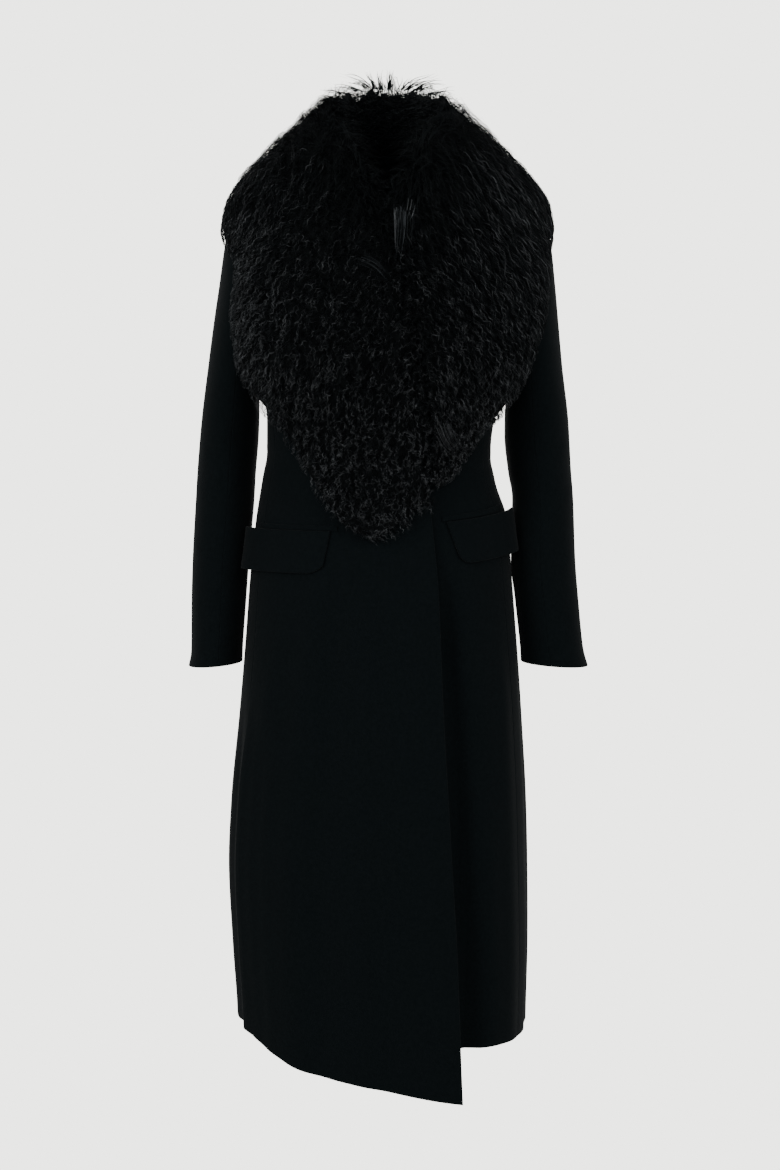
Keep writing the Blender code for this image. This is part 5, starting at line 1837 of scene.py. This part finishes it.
@dataclass
class Collar:
    """The fur collar: pads, curled locks, the tufts on top, neck hairs and combed locks."""

    form: CoatForm
    furs: dict[str, bpy.types.Material]

    def place(self, piece: bpy.types.Object, node: str, *finishes: str) -> None:
        """Gives a fur piece its finishes and its place."""
        for finish in finishes:
            piece.data.materials.append(self.furs[finish])
        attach(piece, "root")
        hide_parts(node)
        log.info("%s: %d faces", piece.name, len(piece.data.polygons))

    def build(self) -> None:
        """Builds every fur piece."""
        back = back_pad(self.form.bed, BACK_FUR, BACK_LOOKS)
        right = lapel_pad(self.form.bed, RIGHT_FUR, Side.RIGHT, RIGHT_LOOKS)
        left = lapel_pad(self.form.bed, LEFT_FUR, Side.LEFT, LEFT_LOOKS)
        rng = np.random.default_rng(LUMP_SEED)
        for pad, height in ((back, 0.85), (right, 0.72), (left, 0.72)):
            self.place(pad.base(height, rng), pad.node, "under_fur")
        batches = (
            Locks(back, 2100, 4, 11), Locks(right, 1650, 4, 21), Locks(right, 1650, 4, 22),
            Locks(left, 1500, 4, 31), Locks(left, 1500, 4, 32),
            Locks(right, 700, 4, 24, first=0.5), Locks(left, 700, 4, 34, first=0.5),
            # The turned locks along the V's rim all take the painted-shade finish.
            Locks(right, 420, 4, 23, shares=(-0.03, 0.08), first=0.24, turned=75.0),
            Locks(left, 420, 4, 33, shares=(-0.03, 0.08), first=0.24, turned=70.0),
        )
        for number, locks in enumerate(batches):
            piece = locks.build(f"fur_locks_{number}")
            # Finishes by number: plain, painted shade, glossy with painted glints.
            self.place(piece, locks.pad.node, "curly_fur", "shaded_fur", "glossy_fur")
        self.place(self.tufts(), back.node, "curly_fur")
        # Painted light and shade: the back's neck hairs take the lighter neck finish, and the lapels' neck
        # hairs the darker shaded finish.
        inside = ((NeckLocks(back, 0.02, 0.98, 2000, 61), "neck_fur"),
                  (NeckLocks(right, 0.08, 0.44, 800, 62, 0.046, 0.3, 0.6), "shaded_fur"),
                  (NeckLocks(left, 0.08, 0.44, 800, 63, 0.046, 0.3, 0.6), "shaded_fur"))
        for number, (locks, finish) in enumerate(inside):
            self.place(locks.build(f"fur_neck_{number}"), locks.pad.node, finish)
        # The combed locks' finishes by number: painted sheen, glossy with painted glints, plain curly.
        self.place(self.combed(left, right), left.node, "combed_fur", "glossy_fur", "curly_fur")

    def tufts(self) -> bpy.types.Object:
        """Loose tufts that stand off the top of the collar."""
        rng = np.random.default_rng(TUFT_SEED)
        lines: list[Array] = []
        t = np.linspace(0.0, 1.0, TUFT_STEPS)
        for tuft in TUFTS:
            for _hair in range(tuft.hairs):
                lean = tuft.lean + rng.normal(0.0, TUFT_LEAN_UNEVEN)
                angle = np.radians(lean + (tuft.turn + rng.normal(0.0, TUFT_TURN_UNEVEN)) * t)
                length = tuft.length * rng.uniform(*TUFT_LENGTHS)
                step = np.full(TUFT_STEPS, length / (TUFT_STEPS - 1))
                wave = TUFT_WAVE * np.sin(math.tau * (TUFT_WAVES * t + rng.random())) * t
                start = rng.uniform(-0.5, 0.5) * tuft.width
                x = tuft.x + start + np.cumsum(step * np.sin(angle)) + wave * np.cos(angle)
                z = tuft.z + np.cumsum(step * np.cos(angle)) - wave * np.sin(angle)
                y = tuft.y + rng.uniform(-TUFT_DEEP, TUFT_DEEP) - TUFT_FORWARD * length * t
                lines.append(np.stack([x, y, z], axis=-1))
        return front_ribbons("fur_tufts", lines, 0.2, TUFT_HAIR, rng)

    def combed(self, left: FurPad, right: FurPad) -> bpy.types.Object:
        """Smooth locks beside the middle of the chest, lighter by painted sheen."""
        rng = np.random.default_rng(COMBED_SEED)
        lines: list[Array] = []
        finishes: list[int] = []
        t = np.linspace(0.0, 1.0, COMBED_STEPS)
        ways = (np.linspace(0.0, 1.0, count) for count in (COMBED_ROWS, COMBED_COLUMNS))
        grid = np.meshgrid(*ways, indexing="ij")
        tops = {pad.name: pad.at_height(*grid, 1.0).reshape(-1, 3) for pad in (left, right)}
        for lock in COMBED_LOCKS:
            top = tops[left.name if lock.x_a > 0.0 else right.name]
            run = np.array([lock.x_b - lock.x_a, lock.z_b - lock.z_a])
            cross = np.array([-run[1], run[0]]) / np.linalg.norm(run)
            for number in range(lock.hairs):
                shift = (number + rng.uniform(-COMBED_UNEVEN, COMBED_UNEVEN)) / lock.hairs - 0.5
                along = t * rng.uniform(*COMBED_LENGTHS) + rng.uniform(*COMBED_STARTS)
                off = shift * lock.width * (1.0 - COMBED_NARROWING * along)
                off = off + lock.bend * np.sin(np.pi * np.clip(along, 0.0, 1.0))
                x = lock.x_a + run[0] * along + cross[0] * off
                z = lock.z_a + run[1] * along + cross[1] * off
                off_x, off_z = (top[:, None, i] - line[None, ::COMBED_SKIP] for i, line in ((0, x), (2, z)))
                behind = np.where(top[:, None, 1] < 0.0, 0.0, 1.0)
                near = np.argmin(off_x ** 2 + off_z ** 2 + behind, axis=0)
                y = np.interp(t, t[::COMBED_SKIP], top[near, 1]) - COMBED_CLEAR
                y = y - rng.uniform(0.0, COMBED_DEEP)
                lines.append(np.stack([x, y, z], axis=-1))
                finishes.append(lock.finish)
        piece = front_ribbons("fur_combed", lines, 0.15, COMBED_HAIR, rng)
        number_finishes(piece, finishes, COMBED_STEPS - 1)
        return piece


class Softbox(NamedTuple):
    """Soft area light: its place, the point it looks at, its width and height, and its power."""

    name: str
    place: tuple[float, float, float]
    aim: tuple[float, float, float]
    size: tuple[float, float]
    power: float


SOFTBOXES = tuple(Softbox(*row) for row in (
    ("soft_right", (-2.1, -2.2, 0.50), (0.0, 0.0, -0.30), (1.4, 1.5), 26.0),
    ("soft_left", (2.1, -2.2, 0.50), (0.0, 0.0, -0.30), (1.4, 1.5), 20.5),
    ("soft_front", (-0.3, -3.6, 0.0), (0.0, 0.0, -0.35), (2.2, 1.2), 16.0),
    ("soft_back", (0.0, 3.4, 0.3), (0.0, 0.0, -0.4), (2.8, 2.0), 40.0),
))


@dataclass
class Studio:
    """Camera, pale floor and soft light."""

    shown: Colour = (3.45, 3.45, 3.45 * 0.955, 1.0)
    ambient: Colour = (0.31, 0.31, 0.31, 1.0)
    floor: Colour = (0.55, 0.55, 0.54, 1.0)
    floor_roughness: float = 0.9
    floor_level: float = -1.75
    floor_rings: tuple[float, ...] = (0.0001, 2.0, 6.0, 14.0)
    floor_sides: int = 96
    eye: tuple[float, float, float] = (0.008, -3.0, -0.342)
    pitch: float = 4.64
    lens: float = 70.15
    sensor: float = 36.0

    def build_camera(self) -> None:
        """Camera at the photograph's place and angle."""
        data = bpy.data.cameras.new("camera")
        data.lens = self.lens
        data.sensor_width = self.sensor
        camera = bpy.data.objects.new("camera", data)
        camera.location = self.eye
        camera.rotation_euler = (math.radians(90.0 - self.pitch), 0.0, 0.0)
        bpy.context.scene.collection.objects.link(camera)
        bpy.context.scene.camera = camera

    def build_world(self) -> None:
        """Even pale surroundings, dimmer as light than as seen."""
        world = bpy.data.worlds.new("studio")
        bpy.context.scene.world = world
        world.use_nodes = True
        tree = world.node_tree
        seen = tree.nodes["Background"]
        light = tree.nodes.new("ShaderNodeBackground")
        set_inputs(seen, {"Color": self.shown})
        set_inputs(light, {"Color": self.ambient})
        camera_sees(tree, light.outputs[0], seen.outputs[0], "World Output")

    def build_floor(self) -> None:
        """Wide round floor, pale and shadowless."""
        turns = np.linspace(0.0, math.tau, self.floor_sides + 1)[:-1]
        points = np.array([[r * math.cos(t), r * math.sin(t), self.floor_level]
                           for r in self.floor_rings for t in turns])
        index = np.arange(len(points)).reshape(len(self.floor_rings), self.floor_sides)
        after = np.roll(index, -1, axis=1)
        faces = np.stack([index[:-1], index[1:], after[1:], after[:-1]], axis=-1).reshape(-1, 4)
        floor = mesh_piece("floor", points, faces)
        material, shader = principled("pale_floor")
        set_inputs(shader, {"Base Color": self.floor, "Roughness": self.floor_roughness})
        glow = material.node_tree.nodes.new("ShaderNodeEmission")
        set_inputs(glow, {"Color": self.shown})
        camera_sees(material.node_tree, shader.outputs[0], glow.outputs[0], "Material Output")
        floor.data.materials.append(material)

    def add_softbox(self, box: Softbox) -> None:
        """Adds a soft area light."""
        data = bpy.data.lights.new(box.name, "AREA")
        data.shape = "RECTANGLE"
        data.size, data.size_y = box.size
        data.energy = box.power
        lamp = bpy.data.objects.new(box.name, data)
        lamp.location = box.place
        lamp.rotation_euler = (Vector(box.aim) - Vector(box.place)).to_track_quat("-Z", "Y").to_euler()
        bpy.context.scene.collection.objects.link(lamp)

    def build(self) -> None:
        """Sets up the whole studio."""
        self.build_camera()
        self.build_world()
        self.build_floor()
        for box in SOFTBOXES:
            self.add_softbox(box)


def main() -> None:
    """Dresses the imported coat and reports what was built."""
    logging.basicConfig(level=logging.INFO, format="%(name)s: %(message)s")
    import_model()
    Studio().build()
    nap = make_nap_group()
    form = CoatForm()
    cloth = Cloth(form, WoolFinish().make("black_wool", nap))
    cloth.build_body()
    cloth.build_sleeves()
    cloth.build_pockets()
    Collar(form, {name: finish.make(name, nap) for name, finish in FUR_FINISHES.items()}).build()


if __name__ == "__main__":
    main()
